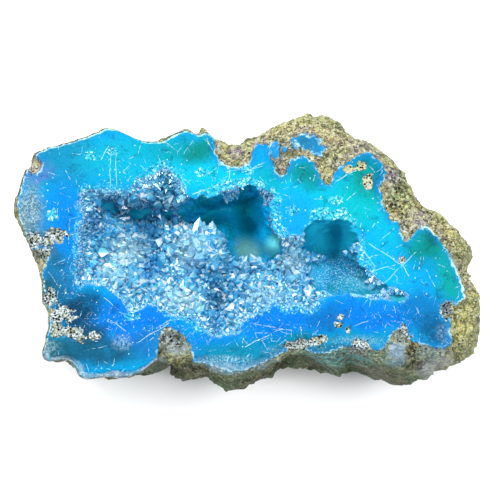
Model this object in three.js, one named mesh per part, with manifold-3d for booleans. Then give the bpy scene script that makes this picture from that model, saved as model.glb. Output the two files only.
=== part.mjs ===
// A cut and polished half of a drusy chalcedony geode with an aura coating.
// It lies on its flat underside with the cut face up. Millimetres, +Z up, origin at the
// middle of the underside.

import * as THREE from "three";
import { mergeVertices } from "three/addons/utils/BufferGeometryUtils.js";
import Module from "manifold-3d";

const wasm = await Module();
wasm.setup();

// Driving dimensions
const faceHeight = 34; // underside to cut face
const widestDepth = 11; // below the cut face, where the stone is broadest
const restScale = 0.6; // breadth of the underside against the broadest outline
const lumpHeight = 3; // relief of the rough flank
const liningDepth = 23; // how far the chalcedony reaches below the cut face
const thinRind = 0.9; // rind at the cut face where the chalcedony nearly reaches the edge
const deepRind = 4; // rind further down
const pieceGap = 0.3; // between one growth and the next
const crustThickness = 1.0;
const aroundSteps = 88;
const flankLevels = 9;
const bowlLevels = 3;
const hollowStep = 2.4; // mesh size of the hollow's surface
const crystalSpacing = 4.1;
const facePits = 11;
const flankPits = 16;
const boxMiddle = { x: -0.2, y: 2.35 }; // middle of the finished stone's box in the outlines' own frame

// Edge of the cut face.
const faceOutline = [
  [-50.3, 11.5], [-49.3, 16], [-47.9, 19], [-46, 22.3], [-40, 24.3], [-33.5, 26.6], [-30.5, 27.7],
  [-27, 26.5], [-23, 24.8], [-19, 25], [-16.5, 26.5], [-14, 27.4], [-11.5, 26.5], [-9.3, 27],
  [-7, 25.1], [-2.5, 24.6], [1, 25.8], [3.5, 27.5], [7, 29.4], [11, 30.4], [15, 30], [19, 28.1],
  [22.6, 26], [26.3, 25], [29.4, 22.5], [31.9, 20], [34, 16.5], [35.7, 13.6], [38, 10.4],
  [40.6, 9.6], [43, 7.2], [45.5, 4.6], [46.7, 1], [45.8, -2.5], [47.2, -5.2], [49.2, -8.5],
  [49.4, -11.5], [48.4, -15], [46.8, -18.5], [44, -21], [41.5, -22], [38, -22], [33.5, -23.6],
  [29, -23.9], [24.5, -22], [20, -21.2], [15.5, -22.2], [11.5, -21.4], [7, -22.3], [3, -24.1],
  [-0.5, -25.6], [-4, -25.9], [-7, -25.1], [-10, -24.2], [-13, -24], [-17, -23.8],
  [-19.8, -23.3], [-23, -25], [-27, -26.3], [-30.5, -26], [-33.5, -27.2], [-36.2, -26.4],
  [-37.4, -24.4], [-40, -23.1], [-42.8, -23.4], [-44.3, -21.8], [-43.3, -18], [-42.9, -14],
  [-44.2, -10.5], [-44.5, -6.5], [-45.6, -2.5], [-46.7, 0.5], [-48.4, 4], [-49.9, 8],
];

// How far the stone bulges past the cut edge at its broadest: [direction in degrees, bulge].
const bulgeKnots = [
  [0, 0.4], [60, 0.7], [120, 0.7], [165, 0], [216, -2], [235, -0.4], [262, 0.6], [290, 0.8],
  [303, 1.2], [312, 2.8], [328, 3], [345, 1.4], [360, 0.4],
];

// Where chalcedony gives way to rind on the cut face. It runs past the stone's edge wherever
// the rind is only a thin skin.
const liningOutline = [
  [-56, 0], [-54, 30], [-30, 36], [-10, 31], [-7.5, 24], [-7, 21.5], [-5.5, 19.5], [-3, 19],
  [0, 20], [1, 23.4], [2.7, 24.2], [4.4, 23.2], [5, 20], [6.4, 17], [7.8, 17.8], [8.7, 20.4],
  [10.8, 21.4], [13, 20.8], [14.7, 18.4], [16.2, 15.2], [17.8, 15.8], [18.4, 17.8], [20, 19.4],
  [22.6, 21], [24.3, 22], [26, 22], [28, 20.4], [29.4, 18], [29.4, 16], [28, 14.6], [28.5, 13],
  [28.8, 10.8], [29.7, 8.6], [31.6, 7.6], [32.2, 5.5], [33.5, 2.4], [35.3, 4.4], [37.5, 5.8],
  [39.5, 4.6], [41.2, 2.3], [42.7, 0], [44, -3], [45, -5.6], [45.9, -8.2], [45.8, -10.2],
  [44.2, -11.7], [42.9, -13.4], [42.9, -17], [42.8, -20], [41, -21], [38, -20.3], [34, -19.2],
  [32, -16.8], [30, -18.4], [28.8, -20.6], [26, -21.2], [20, -20.4], [15.7, -22.6], [12, -21],
  [7.4, -21.4], [4, -26], [-1, -31], [-9, -29], [-12, -23], [-12.6, -20], [-14, -18.2],
  [-16, -17.3], [-18.4, -17.8], [-19.3, -20], [-19.6, -24], [-23, -31], [-38, -33], [-50, -26],
];

// Rim of the two joined hollows on the cut face.
const hollowRim = [
  [-36.5, 12.8], [-33, 13.8], [-29, 13.5], [-26, 13.8], [-25, 16], [-22, 18], [-19, 19.6],
  [-16.2, 19.2], [-14.5, 17.2], [-14.6, 14.4], [-16.2, 11.4], [-16.2, 9.2], [-12.8, 10.4],
  [-10, 12], [-7, 13.2], [-2, 15], [3, 14.6], [5.8, 13.2], [4.4, 10], [4.4, 6.2], [5.6, 4],
  [8, 3.2], [11, 3.6], [12.2, 5.8], [13.8, 8.4], [16.4, 8], [19.6, 9], [22.4, 5.8], [23.2, 2],
  [23.6, -2], [25.4, -4], [29, -6.6], [33, -8.2], [34.4, -9.4], [32.6, -11], [29.6, -10.8],
  [26.4, -10.2], [23.4, -9.2], [19.6, -9.4], [15.4, -10.4], [13.2, -11.8], [9.6, -12.2],
  [5, -11.4], [2.6, -13.4], [-0.6, -15], [-2, -17.6], [-5, -18.4], [-9.6, -17.4], [-13.2, -14.2],
  [-17, -13], [-22, -12], [-24.4, -12.4], [-27.2, -11], [-30.2, -8.4], [-33.6, -7.2], [-36.8, -6.6],
  [-36.8, 0], [-36.6, 4], [-35.8, 7], [-36.4, 10],
];
const rimSlope = 2.4; // how far in from the rim the wall gives up its drop
const shallowDepth = 4;
// Basins and mounds of the hollow floor: middle, breadth each way, and added depth.
const basins = [
  { x: -23, y: -1, across: 9, along: 7, depth: 4.5 }, // left slope
  { x: -27, y: 8, across: 4.5, along: 3.2, depth: 3.5 }, // pocket under the upper left rim
  { x: -16, y: 6.5, across: 7, along: 1.8, depth: 3 }, // crevice under the ledge
  { x: -20, y: 15, across: 5, along: 3.6, depth: -2.4 }, // ledge
  { x: -8.5, y: 0, across: 4, along: 3.6, depth: -3 }, // mound beside the cave
  { x: -7, y: -13, across: 3.4, along: 3.6, depth: 4.5 }, // valley
  { x: -7.5, y: 8, across: 4.6, along: 2.6, depth: 7 }, // left arm of the cave
  { x: 0.5, y: 5, across: 4.6, along: 6, depth: 11.5 }, // cave
  { x: 6, y: -6, across: 4.5, along: 4, depth: 1.5 }, // right slope
  { x: 18, y: 0.5, across: 4, along: 5.5, depth: 7.5 }, // side hollow
  { x: 29, y: -8.6, across: 4, along: 3, depth: -2 }, // tail
];
// How far the floor leans in under the upper rim for each millimetre of depth.
const leanBase = 0.3;
const leans = [
  { x: 0, across: 9, lean: 0.15 }, // cave
  { x: 18, across: 5, lean: 0.15 }, // side hollow
];

// The bare stretches that carry no crystals: the cave and the roof of the side hollow.
const bareStretches = [
  { at: [0.5, 9, faceHeight - 9], size: [7.6, 12, 26] },
  { at: [-8.5, 13.5, faceHeight - 6], size: [7, 5.8, 20] },
  { at: [18, 11, faceHeight - 5], size: [7.5, 9.6, 18] },
];

// Porous rock closed into the chalcedony: middle, and reach each way.
const inclusions = [
  [-43.5, 2.5, 4, 2.2], [-42.2, -9.8, 2.1, 2.3], [-39.8, -13.2, 3.2, 1.8], [-38.6, -17.4, 3.9, 2],
  [-33.1, -18.3, 1.3, 1.3], [12.2, -19, 4.4, 1.8], [19.8, -15.4, 1.6, 1.9], [24.4, 19.2, 1.1, 1],
  [25.4, 15.6, 1.1, 2],
];

const looks = {
  rind: { color: 0x8f8f5c, roughness: 0.85, metalness: 0.05 },
  chalcedony: { color: 0x0aa6cf, roughness: 0.2, metalness: 0.05 },
  crystalCrust: { color: 0x8fd0ec, roughness: 0.12, metalness: 0.05 },
};

// A repeatable stream of numbers from 0 to 1.
function randomStream(seed) {
  let state = seed;
  return () => {
    state = (state * 48271) % 2147483647;
    return state / 2147483647;
  };
}

function latticeValue(i, j, k) {
  const wave = Math.sin(i * 127.1 + j * 311.7 + k * 74.7) * 43758.5453;
  return 2 * (wave - Math.floor(wave)) - 1;
}

// Smooth noise from -1 to 1.
function smoothNoise(x, y, z) {
  const cell = [x, y, z].map(Math.floor);
  const part = [x, y, z].map((value, axis) => {
    const t = value - cell[axis];
    return t * t * (3 - 2 * t);
  });
  let sum = 0;
  for (let corner = 0; corner < 8; corner++) {
    const step = [corner & 1, (corner >> 1) & 1, (corner >> 2) & 1];
    let weight = 1;
    step.forEach((one, axis) => (weight *= one ? part[axis] : 1 - part[axis]));
    sum += weight * latticeValue(cell[0] + step[0], cell[1] + step[1], cell[2] + step[2]);
  }
  return sum;
}

function roughness(x, y, z) {
  const crag = 1 - 2 * Math.abs(smoothNoise(x / 7.5 + 9, y / 7.5, z / 6));
  return 0.55 * smoothNoise(x / 6, y / 6, z / 5) + 0.45 * crag;
}

// A closed smooth curve through a list of points, as many points around.
function smoothLoop(points, count) {
  const knots = points.map(([x, y]) => new THREE.Vector3(x, y, 0));
  const curve = new THREE.CatmullRomCurve3(knots, true, "catmullrom", 0.5);
  return Array.from({ length: count }, (_, i) => curve.getPoint(i / count));
}

const faceLoop = smoothLoop(faceOutline, 900)
  .map((point) => ({ angle: Math.atan2(point.y, point.x), radius: Math.hypot(point.x, point.y) }))
  .sort((a, b) => a.angle - b.angle);

// Distance from the middle to the cut edge in one direction.
function faceRadius(angle) {
  const turned = Math.atan2(Math.sin(angle), Math.cos(angle));
  const after = faceLoop.findIndex((sample) => sample.angle > turned);
  const b = faceLoop[after < 0 ? 0 : after];
  const a = faceLoop[(after <= 0 ? faceLoop.length : after) - 1];
  const span = b.angle - a.angle + (after <= 0 ? 2 * Math.PI : 0);
  const gone = turned - a.angle + (after === 0 ? 2 * Math.PI : 0);
  return a.radius + ((b.radius - a.radius) * gone) / span;
}

function bulge(angle) {
  const degrees = (THREE.MathUtils.radToDeg(angle) + 720) % 360;
  const next = bulgeKnots.findIndex(([knot]) => knot > degrees);
  const [from, low] = bulgeKnots[next - 1];
  const [to, high] = bulgeKnots[next];
  return THREE.MathUtils.lerp(low, high, (degrees - from) / (to - from));
}

// Outer radius of the smooth stone in one direction, at a depth below the cut face.
function stoneRadius(angle, depth) {
  const reach = faceRadius(angle);
  const toWidest = THREE.MathUtils.clamp(depth / widestDepth, 0, 1);
  const swelling = bulge(angle) * Math.sin((toWidest * Math.PI) / 2);
  const below = THREE.MathUtils.clamp((depth - widestDepth) / (faceHeight - widestDepth), 0, 1);
  const taper = 1 - (1 - restScale) * (1 - Math.sqrt(1 - below * below * 0.98));
  return (reach + swelling) * taper;
}

function lump(angle, radius, depth) {
  const strength = lumpHeight * THREE.MathUtils.smoothstep(depth, 0, 9);
  return strength * roughness(radius * Math.cos(angle), radius * Math.sin(angle), depth);
}

// Gives a cylinder's rings a radius and a height each, and returns the closed solid.
function ringedSolid(steps, levels, placeRing) {
  const geometry = new THREE.CylinderGeometry(1, 1, 1, steps, levels);
  geometry.rotateX(Math.PI / 2);
  return solidFrom(geometry, (point) => {
    const level = 0.5 - point.z;
    const isMiddle = Math.hypot(point.x, point.y) < 0.5;
    const angle = Math.atan2(point.y, point.x);
    const { radius, height } = placeRing(angle, level);
    const reach = isMiddle ? 0 : radius;
    point.set(reach * Math.cos(angle), reach * Math.sin(angle), height);
  });
}

// Turns a geometry into a closed solid, moving its points first if asked.
function solidFrom(geometry, movePoint) {
  geometry.deleteAttribute("normal");
  geometry.deleteAttribute("uv");
  const position = geometry.attributes.position;
  const point = new THREE.Vector3();
  for (let i = 0; movePoint && i < position.count; i++) {
    movePoint(point.fromBufferAttribute(position, i));
    position.setXYZ(i, point.x, point.y, point.z);
  }
  const merged = mergeVertices(geometry, 1e-3);
  return new wasm.Manifold(
    new wasm.Mesh({
      numProp: 3,
      vertProperties: merged.attributes.position.array,
      triVerts: new Uint32Array(merged.index.array),
    }),
  );
}

function stoneBody() {
  return ringedSolid(aroundSteps, flankLevels, (angle, level) => {
    const depth = faceHeight * level;
    const radius = stoneRadius(angle, depth);
    return { radius: radius + lump(angle, radius, depth), height: faceHeight - depth };
  });
}

// The bowl inside the stone that the chalcedony fills, with a collar above the cut face.
function liningBowl(grow) {
  return ringedSolid(aroundSteps, bowlLevels + 1, (angle, level) => {
    const row = Math.round(level * (bowlLevels + 1)) - 1;
    const share = Math.max(0, row / bowlLevels);
    const depth = liningDepth * Math.sin((share * Math.PI) / 2) ** 0.9;
    const wall = thinRind + (deepRind - thinRind) * THREE.MathUtils.smoothstep(depth, 0, 8);
    const bowl = Math.sqrt(Math.max(0.05, 1 - (depth / liningDepth) ** 2.6));
    const radius = (stoneRadius(angle, depth) - wall) * bowl + grow;
    const height = row < 0 ? faceHeight + 2 : faceHeight - depth - grow * share;
    return { radius, height };
  });
}

// A loop moved outwards by a distance.
function grownLoop(loop, distance) {
  const turn = Math.sign(THREE.ShapeUtils.area(loop));
  return loop.map((point, i) => {
    const before = loop[(i + loop.length - 1) % loop.length];
    const after = loop[(i + 1) % loop.length];
    const along = new THREE.Vector2(after.x - before.x, after.y - before.y).normalize();
    return new THREE.Vector2(point.x + turn * distance * along.y, point.y - turn * distance * along.x);
  });
}

const rimLoop = smoothLoop(hollowRim, 300);
const liningLoop = smoothLoop(liningOutline, 128);

// Distance in from a loop, less than zero outside it.
function distanceInside(loop, x, y) {
  let nearest = Infinity;
  let inside = false;
  loop.forEach((a, i) => {
    const b = loop[(i + 1) % loop.length];
    const edge = [b.x - a.x, b.y - a.y];
    const reach = [x - a.x, y - a.y];
    const dot = edge[0] * reach[0] + edge[1] * reach[1];
    const share = THREE.MathUtils.clamp(dot / (edge[0] ** 2 + edge[1] ** 2), 0, 1);
    nearest = Math.min(nearest, Math.hypot(reach[0] - share * edge[0], reach[1] - share * edge[1]));
    if (a.y > y !== b.y > y && x < a.x + (edge[0] * (y - a.y)) / edge[1]) inside = !inside;
  });
  return inside ? nearest : -nearest;
}

// The chalcedony's region on the cut face, as a column through the stone.
function liningColumn(grow, height) {
  const shape = new THREE.Shape(grownLoop(liningLoop, grow));
  return solidFrom(new THREE.ExtrudeGeometry(shape, { depth: height, bevelEnabled: false }));
}

// Depth of the hollow's surface below the cut face, shrunk inwards by an inset.
function hollowDepth(x, y, inset) {
  const fromRim = distanceInside(rimLoop, x, y) - inset;
  if (fromRim <= 0) return Math.max(-1.6, 1.6 * fromRim) - inset;
  const floor = basins.reduce((sum, basin) => {
    const across = (x - basin.x) / basin.across;
    const along = (y - basin.y) / basin.along;
    return sum + basin.depth * Math.exp(-across * across - along * along);
  }, shallowDepth);
  return Math.max(1, floor) * (1 - Math.exp(-fromRim / rimSlope)) - inset;
}

function leanAt(x) {
  return leans.reduce((sum, part) => {
    const across = (x - part.x) / part.across;
    return sum + part.lean * Math.exp(-across * across);
  }, leanBase);
}

function hollowPoint(x, y, inset) {
  const depth = hollowDepth(x, y, inset);
  return new THREE.Vector3(x, y + leanAt(x) * depth, faceHeight - depth);
}

// Everything above the hollow's surface, as one block that cuts the hollow out of the stone.
function hollowBlock(inset, topRise) {
  const [left, right, low, high] = [-39.5, 37.5, -21, 22];
  const columns = Math.round((right - left) / hollowStep);
  const rows = Math.round((high - low) / hollowStep);
  const block = new THREE.BoxGeometry(right - left, high - low, 2, columns, rows, 1);
  block.translate((left + right) / 2, (low + high) / 2, 0);
  return solidFrom(block, (point) => {
    if (point.z > 0) point.z = faceHeight + topRise;
    else point.copy(hollowPoint(point.x, point.y, inset));
  });
}

// A faceted ball, stretched and turned.
function ball(at, size, turn, detail) {
  const geometry = new THREE.IcosahedronGeometry(1, detail);
  geometry.scale(...size);
  geometry.rotateZ(turn);
  geometry.translate(...at);
  return solidFrom(geometry);
}

// Pits of the rough rind, on the cut face and round the flank.
function rindPits() {
  const random = randomStream(4711);
  const pits = [];
  while (pits.length < facePits) {
    const x = 100 * random() - 50;
    const y = 58 * random() - 28;
    const fromEdge = faceRadius(Math.atan2(y, x)) - Math.hypot(x, y);
    if (fromEdge < 1.6 || distanceInside(liningLoop, x, y) > -1.7) continue;
    const size = 0.7 + 0.6 * random();
    pits.push(ball([x, y, faceHeight], [size, size * 1.3, 1.2], 6 * random(), 0));
  }
  for (let pit = 0; pit < flankPits; pit++) {
    const angle = (pit / flankPits) * 2 * Math.PI + 0.3 * random();
    const depth = 7 + 18 * random();
    const radius = stoneRadius(angle, depth) + 0.4;
    const size = 1.1 + 1.3 * random();
    const at = [radius * Math.cos(angle), radius * Math.sin(angle), faceHeight - depth];
    pits.push(ball(at, [size, size, size * 0.8], 6 * random(), 0));
  }
  return wasm.Manifold.union(pits);
}

// Pits where the chalcedony has closed round porous rock.
function inclusionPits() {
  const pits = inclusions.map(([x, y, across, along], i) =>
    ball([x, y, faceHeight], [across * 0.55, along * 0.55, 0.9], i, 0),
  );
  return wasm.Manifold.union(pits);
}

// One quartz point: a six-sided prism with a six-sided tip, standing on a spot.
function crystal(spot, direction, girth, length, spin) {
  const profile = [
    [0, 0], [girth, 0], [girth * 0.92, length * 0.6], [0, length],
  ].map(([x, y]) => new THREE.Vector2(x, y));
  const geometry = new THREE.LatheGeometry(profile, 6);
  geometry.rotateX(Math.PI / 2);
  geometry.rotateZ(spin);
  const upright = new THREE.Vector3(0, 0, 1);
  const stand = new THREE.Quaternion().setFromUnitVectors(upright, direction);
  geometry.applyQuaternion(stand);
  geometry.translate(spot.x, spot.y, spot.z);
  return solidFrom(geometry);
}

function crystals() {
  const random = randomStream(2027);
  const innerFace = pieceGap + crustThickness;
  const grown = [];
  for (let y = -18; y < 19; y += crystalSpacing) {
    for (let x = -37; x < 34; x += crystalSpacing) {
      const u = x + crystalSpacing * 0.8 * (random() - 0.5);
      const v = y + crystalSpacing * 0.8 * (random() - 0.5);
      const size = 0.9 + 0.6 * random();
      const spin = random();
      const sway = new THREE.Vector3(random() - 0.5, random() - 0.5, 0).multiplyScalar(0.9);
      if (distanceInside(rimLoop, u, v) < 2 || isBare(hollowPoint(u, v, innerFace), 1.2)) continue;
      const root = hollowPoint(u, v, innerFace);
      const east = hollowPoint(u + 0.5, v, innerFace).sub(root);
      const north = hollowPoint(u, v + 0.5, innerFace).sub(root);
      const outwards = east.cross(north).normalize();
      const direction = outwards.clone().add(sway).normalize();
      const spot = root.addScaledVector(outwards, -0.45);
      grown.push(crystal(spot, direction, size, size * (2.4 + 0.6 * spin), spin * 3));
    }
  }
  return wasm.Manifold.union(grown);
}

// Whether a point lies in a stretch without crystals, or within a margin of one.
function isBare(point, margin) {
  return bareStretches.some(({ at, size }) => {
    const away = point.toArray().map((value, axis) => (value - at[axis]) / (size[axis] + margin));
    return Math.hypot(...away) < 1;
  });
}

function largestPiece(solid) {
  return solid.decompose().sort((a, b) => b.volume() - a.volume())[0];
}

function crystalCrust(lining) {
  const space = hollowBlock(pieceGap, 3);
  const shell = space.subtract(hollowBlock(pieceGap + crustThickness, 6));
  const bare = bareStretches.map(({ at, size }) => ball(at, size, 0, 2));
  const druse = shell.subtract(wasm.Manifold.union(bare)).add(crystals().intersect(space));
  return largestPiece(druse.intersect(lining));
}

function namedMesh(name, solid, look) {
  const { vertProperties, triVerts } = solid.getMesh();
  const geometry = new THREE.BufferGeometry();
  geometry.setAttribute("position", new THREE.BufferAttribute(vertProperties, 3));
  geometry.setIndex(new THREE.BufferAttribute(triVerts, 1));
  geometry.computeVertexNormals();
  const mesh = new THREE.Mesh(geometry, new THREE.MeshStandardMaterial(look));
  mesh.name = name;
  mesh.position.set(-boxMiddle.x, -boxMiddle.y, 0);
  return mesh;
}

const liningSpace = liningBowl(pieceGap).intersect(liningColumn(pieceGap, faceHeight + 1));
const lining = liningBowl(0).intersect(liningColumn(0, faceHeight));
const rind = stoneBody().subtract(liningSpace).subtract(rindPits());
const chalcedony = lining.subtract(hollowBlock(0, 6)).subtract(inclusionPits());

const geode = new THREE.Group();
geode.add(namedMesh("rind", largestPiece(rind), looks.rind));
geode.add(namedMesh("chalcedony", largestPiece(chalcedony), looks.chalcedony));
geode.add(namedMesh("crystal_crust", crystalCrust(lining), looks.crystalCrust));

export default geode;
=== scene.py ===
import math
import bmesh
import bpy
import numpy as np
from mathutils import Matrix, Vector


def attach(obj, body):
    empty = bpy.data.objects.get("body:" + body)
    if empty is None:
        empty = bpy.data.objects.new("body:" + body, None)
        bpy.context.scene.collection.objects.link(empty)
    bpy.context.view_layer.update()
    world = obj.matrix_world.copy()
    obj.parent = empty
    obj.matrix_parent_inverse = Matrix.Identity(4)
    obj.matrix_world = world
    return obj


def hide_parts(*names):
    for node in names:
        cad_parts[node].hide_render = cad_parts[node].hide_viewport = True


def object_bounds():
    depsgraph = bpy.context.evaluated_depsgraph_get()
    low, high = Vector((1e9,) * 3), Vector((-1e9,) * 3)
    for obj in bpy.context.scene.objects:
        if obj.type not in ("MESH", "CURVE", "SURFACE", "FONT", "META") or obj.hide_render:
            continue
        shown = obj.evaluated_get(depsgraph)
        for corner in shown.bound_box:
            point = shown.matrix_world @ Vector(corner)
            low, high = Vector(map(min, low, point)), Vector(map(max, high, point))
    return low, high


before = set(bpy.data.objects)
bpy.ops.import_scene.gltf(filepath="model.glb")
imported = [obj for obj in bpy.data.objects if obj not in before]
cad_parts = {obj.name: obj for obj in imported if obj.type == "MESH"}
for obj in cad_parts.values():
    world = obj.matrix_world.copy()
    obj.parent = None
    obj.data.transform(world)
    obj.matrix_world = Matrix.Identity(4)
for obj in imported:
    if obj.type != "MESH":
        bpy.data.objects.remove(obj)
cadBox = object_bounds()

# Plain sizes below are millimetres in the outlines' own frame; mesh data ends in metres.
millimetre = 0.001
boxMiddle = np.array([-0.2, 2.35, 0.0])
rng = np.random.default_rng(20267)

stone = {
    "faceHeight": 34.0,
    "widestDepth": 11.0,
    "restScale": 0.6,
    "lumpHeight": 3.0,
    "thinRind": 0.9,      # skin of rind where the chalcedony nearly reaches the edge
    "spokes": 840,
    "faceRings": 100,
    "flankRings": 76,
    "baseRings": 10,
    "clearance": 0.06,    # kept to the solids' box
    "sharpAngle": 50,
    "jaggedEdge": 0.35,
    "grain": 0.45,        # finest relief of the bare rock
}

# Inner walls of the two thick pieces: heights, share of the breadth, rock left outside them.
liningWalls = {"heights": (31.5, 27, 16.5), "shrink": 0.99, "cover": 2.4}
rindWalls = {"heights": (31.4, 26.8, 16), "shrink": 0.988, "cover": 2.6}

# Edge of the cut face.
faceOutline = [
    (-50.3, 11.5), (-49.3, 16), (-47.9, 19), (-46, 22.3), (-40, 24.3), (-33.5, 26.6), (-30.5, 27.7),
    (-27, 26.5), (-23, 24.8), (-19, 25), (-16.5, 26.5), (-14, 27.4), (-11.5, 26.5), (-9.3, 27),
    (-7, 25.1), (-2.5, 24.6), (1, 25.8), (3.5, 27.5), (7, 29.4), (11, 30.4), (15, 30), (19, 28.1),
    (22.6, 26), (26.3, 25), (29.4, 22.5), (31.9, 20), (34, 16.5), (35.7, 13.6), (38, 10.4),
    (40.6, 9.6), (43, 7.2), (45.5, 4.6), (46.7, 1), (45.8, -2.5), (47.2, -5.2), (49.2, -8.5),
    (49.4, -11.5), (48.4, -15), (46.8, -18.5), (44, -21), (41.5, -22), (38, -22), (33.5, -23.6),
    (29, -23.9), (24.5, -22), (20, -21.2), (15.5, -22.2), (11.5, -21.4), (7, -22.3), (3, -24.1),
    (-0.5, -25.6), (-4, -25.9), (-7, -25.1), (-10, -24.2), (-13, -24), (-17, -23.8),
    (-19.8, -23.3), (-23, -25.6), (-27, -27), (-30.5, -26.7), (-33.5, -27.2), (-36.2, -26.4),
    (-37.4, -24.4), (-40, -23.1), (-42.8, -23.4), (-44.3, -21.8), (-43.3, -18), (-42.9, -14),
    (-44.2, -10.5), (-44.5, -6.5), (-45.6, -2.5), (-46.7, 0.5), (-48.4, 4), (-49.9, 8),
]

# How far the stone bulges past the cut edge at its broadest: direction in degrees, bulge.
bulgeKnots = [
    (0, 0.1), (60, 0.7), (120, 0.7), (165, 0), (205, -3), (220, -4.4), (230, -4), (235, -0.8),
    (240, 0), (248, -0.7), (262, 0.6), (288, 0.2), (297, -0.5), (304, -0.6), (311, 2), (326, 2.3),
    (335, 1), (345, 0.6), (360, 0.1),
]

# Where chalcedony gives way to rind on the cut face.
liningOutline = [
    (-56, 0), (-54, 30), (-30, 36), (-10, 31), (-7.5, 24), (-7, 21.5), (-5.5, 19.5), (-3, 19),
    (0, 20), (1, 23.4), (2.7, 24.2), (4.4, 23.2), (5, 20), (6.4, 17), (7.8, 17.8), (8.7, 20.4),
    (10.8, 21.4), (13, 20.8), (14.7, 18.4), (16.2, 15.2), (17.8, 15.8), (18.4, 17.8), (20, 19.4),
    (22.6, 21), (24.3, 22), (26, 22), (28, 20.4), (29.4, 18), (29.4, 16), (28, 14.6), (28.5, 13),
    (28.8, 10.8), (29.7, 8.6), (31.6, 7.6), (32.2, 5.5), (33.5, 2.4), (35.3, 4.4), (37.5, 5.8),
    (39.5, 4.6), (41.2, 2.3), (42.7, 0), (44, -3), (45, -5.6), (45.9, -8.2), (45.8, -10.2),
    (44.2, -11.7), (42.9, -13.4), (42.9, -17), (42.8, -20), (41, -21), (38, -20.3), (34, -19.2),
    (32, -16.8), (30, -18.4), (28.8, -20.6), (26, -21.2), (20, -20.4), (15.7, -22.6), (12, -21),
    (7.4, -21.4), (4, -26), (-1, -31), (-9, -29), (-12, -23), (-12.6, -20), (-14, -18.2),
    (-16, -17.3), (-18.4, -17.8), (-19.3, -20), (-19.6, -24), (-23, -31), (-38, -33), (-50, -26),
]

# Small islands of chalcedony closed in by rind: middle, and reach each way.
islands = [(5.5, 22.8, 1.2, 2.2), (7.6, 22.9, 0.6, 0.8), (12.2, 24.6, 3.3, 1.9), (14.6, 22.8, 1.8, 1.5)]

# Small bays of rind in the chalcedony: middle, and reach each way.
bays = [(-45.6, -2, 2, 2.6), (-46.6, 19.4, 1.7, 1.9), (42.6, -12.6, 1.6, 1.6), (31.4, 8.4, 1.6, 1.5)]

# Rim of the two joined hollows on the cut face.
hollowRim = [
    (-36.5, 12.8), (-33, 13.8), (-29, 13.5), (-26, 14.2), (-24, 16.4), (-21.4, 17), (-19, 18.2),
    (-17, 17.8), (-15.8, 16), (-14.4, 14.4), (-13.4, 13.2), (-11.8, 12.2), (-10.2, 12),
    (-8, 12.4), (-5, 13.4), (-2, 14), (2.6, 13.9), (5.4, 12.4), (4.4, 10), (4.4, 6.2), (5.6, 4),
    (8, 3.2), (11, 3.6), (12.2, 5.4), (13.9, 7.2), (16.4, 6.6), (19.4, 7.6), (22.2, 5.4), (23.2, 2),
    (23.6, -2), (25.4, -4), (29, -6.6), (33, -8.2), (34.4, -9.4), (32.6, -11), (29.6, -10.8),
    (26.4, -10.2), (23.4, -9.2), (19.6, -9.4), (15.4, -10.4), (13.2, -11.8), (9.6, -12.2),
    (5, -11.4), (2.6, -13.4), (-0.6, -15), (-2, -17.6), (-5, -18.4), (-9.6, -17.4), (-13.2, -14.2),
    (-17, -13), (-22, -12), (-24.4, -12.4), (-27.2, -11), (-30.2, -8.4), (-33.6, -7.2), (-36.8, -6.6),
    (-36.8, 0), (-36.6, 4), (-35.8, 7), (-36.4, 10),
]

hollow = {"rimSlope": 2.4, "shallowDepth": 4.0, "leanBase": 0.3, "rimWobble": 1.0}

# Basins and mounds of the hollow floor: middle, breadth each way, added depth.
basins = [
    (-23, -1, 9, 7, 4.5), (-27, 8, 4.5, 3.2, 3.5), (-16, 6.5, 7, 1.8, 3), (-20, 15, 5, 3.6, -2.4),
    (-8.5, 0, 4, 3.6, -3), (-7, -13, 3.4, 3.6, 4.5), (-7.5, 8, 4.6, 2.6, 7), (0.5, 5, 4.6, 6, 11.5),
    (6, -6, 4.5, 4, 1.5), (18, 0.5, 4, 5.5, 7.5), (29, -8.6, 4, 3, -2), (4.4, 1.4, 2.3, 2.4, -4.5),
]
# Where the hollow leans further under its upper edge: place, breadth, share of the depth.
leans = [(0, 9, 0.15), (18, 5, 0.15)]

# Stretches without crystals: middle and reach.
bareStretches = [
    ((-0.7, 6.9, 25), (6.4, 8.4, 26)), ((-8.5, 9.9, 28), (7.4, 3.4, 20)), ((18, 4.6, 29), (7.4, 6, 18)),
    ((19.6, -3.6, 29), (7, 5.6, 18)), ((4.4, 1.8, 30), (3, 3.2, 9)), ((-30.4, 11, 28), (2.4, 1, 18)),
    ((-24.3, 10.1, 28), (3.3, 1.3, 18)), ((-18.4, 9.6, 28), (2, 0.9, 18)), ((25, -7.6, 33), (4.6, 1.5, 9)),
    ((31.6, -9.8, 33), (1.9, 1, 6)),
]

# Porous rock closed into the chalcedony: middle, and reach each way.
inclusions = [
    (-45.9, 2.4, 2.2, 2.2), (-41.6, 3.6, 2.6, 1.5), (-44.2, 0, 1.4, 1.8), (-42.5, -9.7, 1.9, 1.9),
    (-40.1, -13.5, 3.2, 1.9), (-40.2, -16.9, 2.6, 1.4), (-36.9, -17.8, 2.1, 1.7), (-33.1, -17.8, 1.3, 1.3),
    (-16.8, -18.3, 2.4, 1.8), (9.3, -20.2, 2.1, 0.9), (12.4, -19.5, 2.4, 1), (15.5, -18.8, 2, 0.9),
    (19.4, -14.2, 0.9, 0.7), (18.9, -15.6, 1.2, 0.7), (20.9, -16.7, 0.7, 0.8), (24.4, 19.2, 1.1, 1),
    (25.4, 15.6, 1.1, 2), (21.4, 18.4, 1.3, 0.8), (23.4, -20.6, 2, 1.8), (32.6, -17.6, 2, 1.6),
    (42, -12.4, 1.5, 1.8), (32.4, -1.6, 0.7, 0.9),
]


# Smooth noise and curves, the same as the solids are made with.


def latticeValue(i, j, k):
    wave = np.sin(i * 127.1 + j * 311.7 + k * 74.7) * 43758.5453
    return 2 * (wave - np.floor(wave)) - 1


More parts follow.
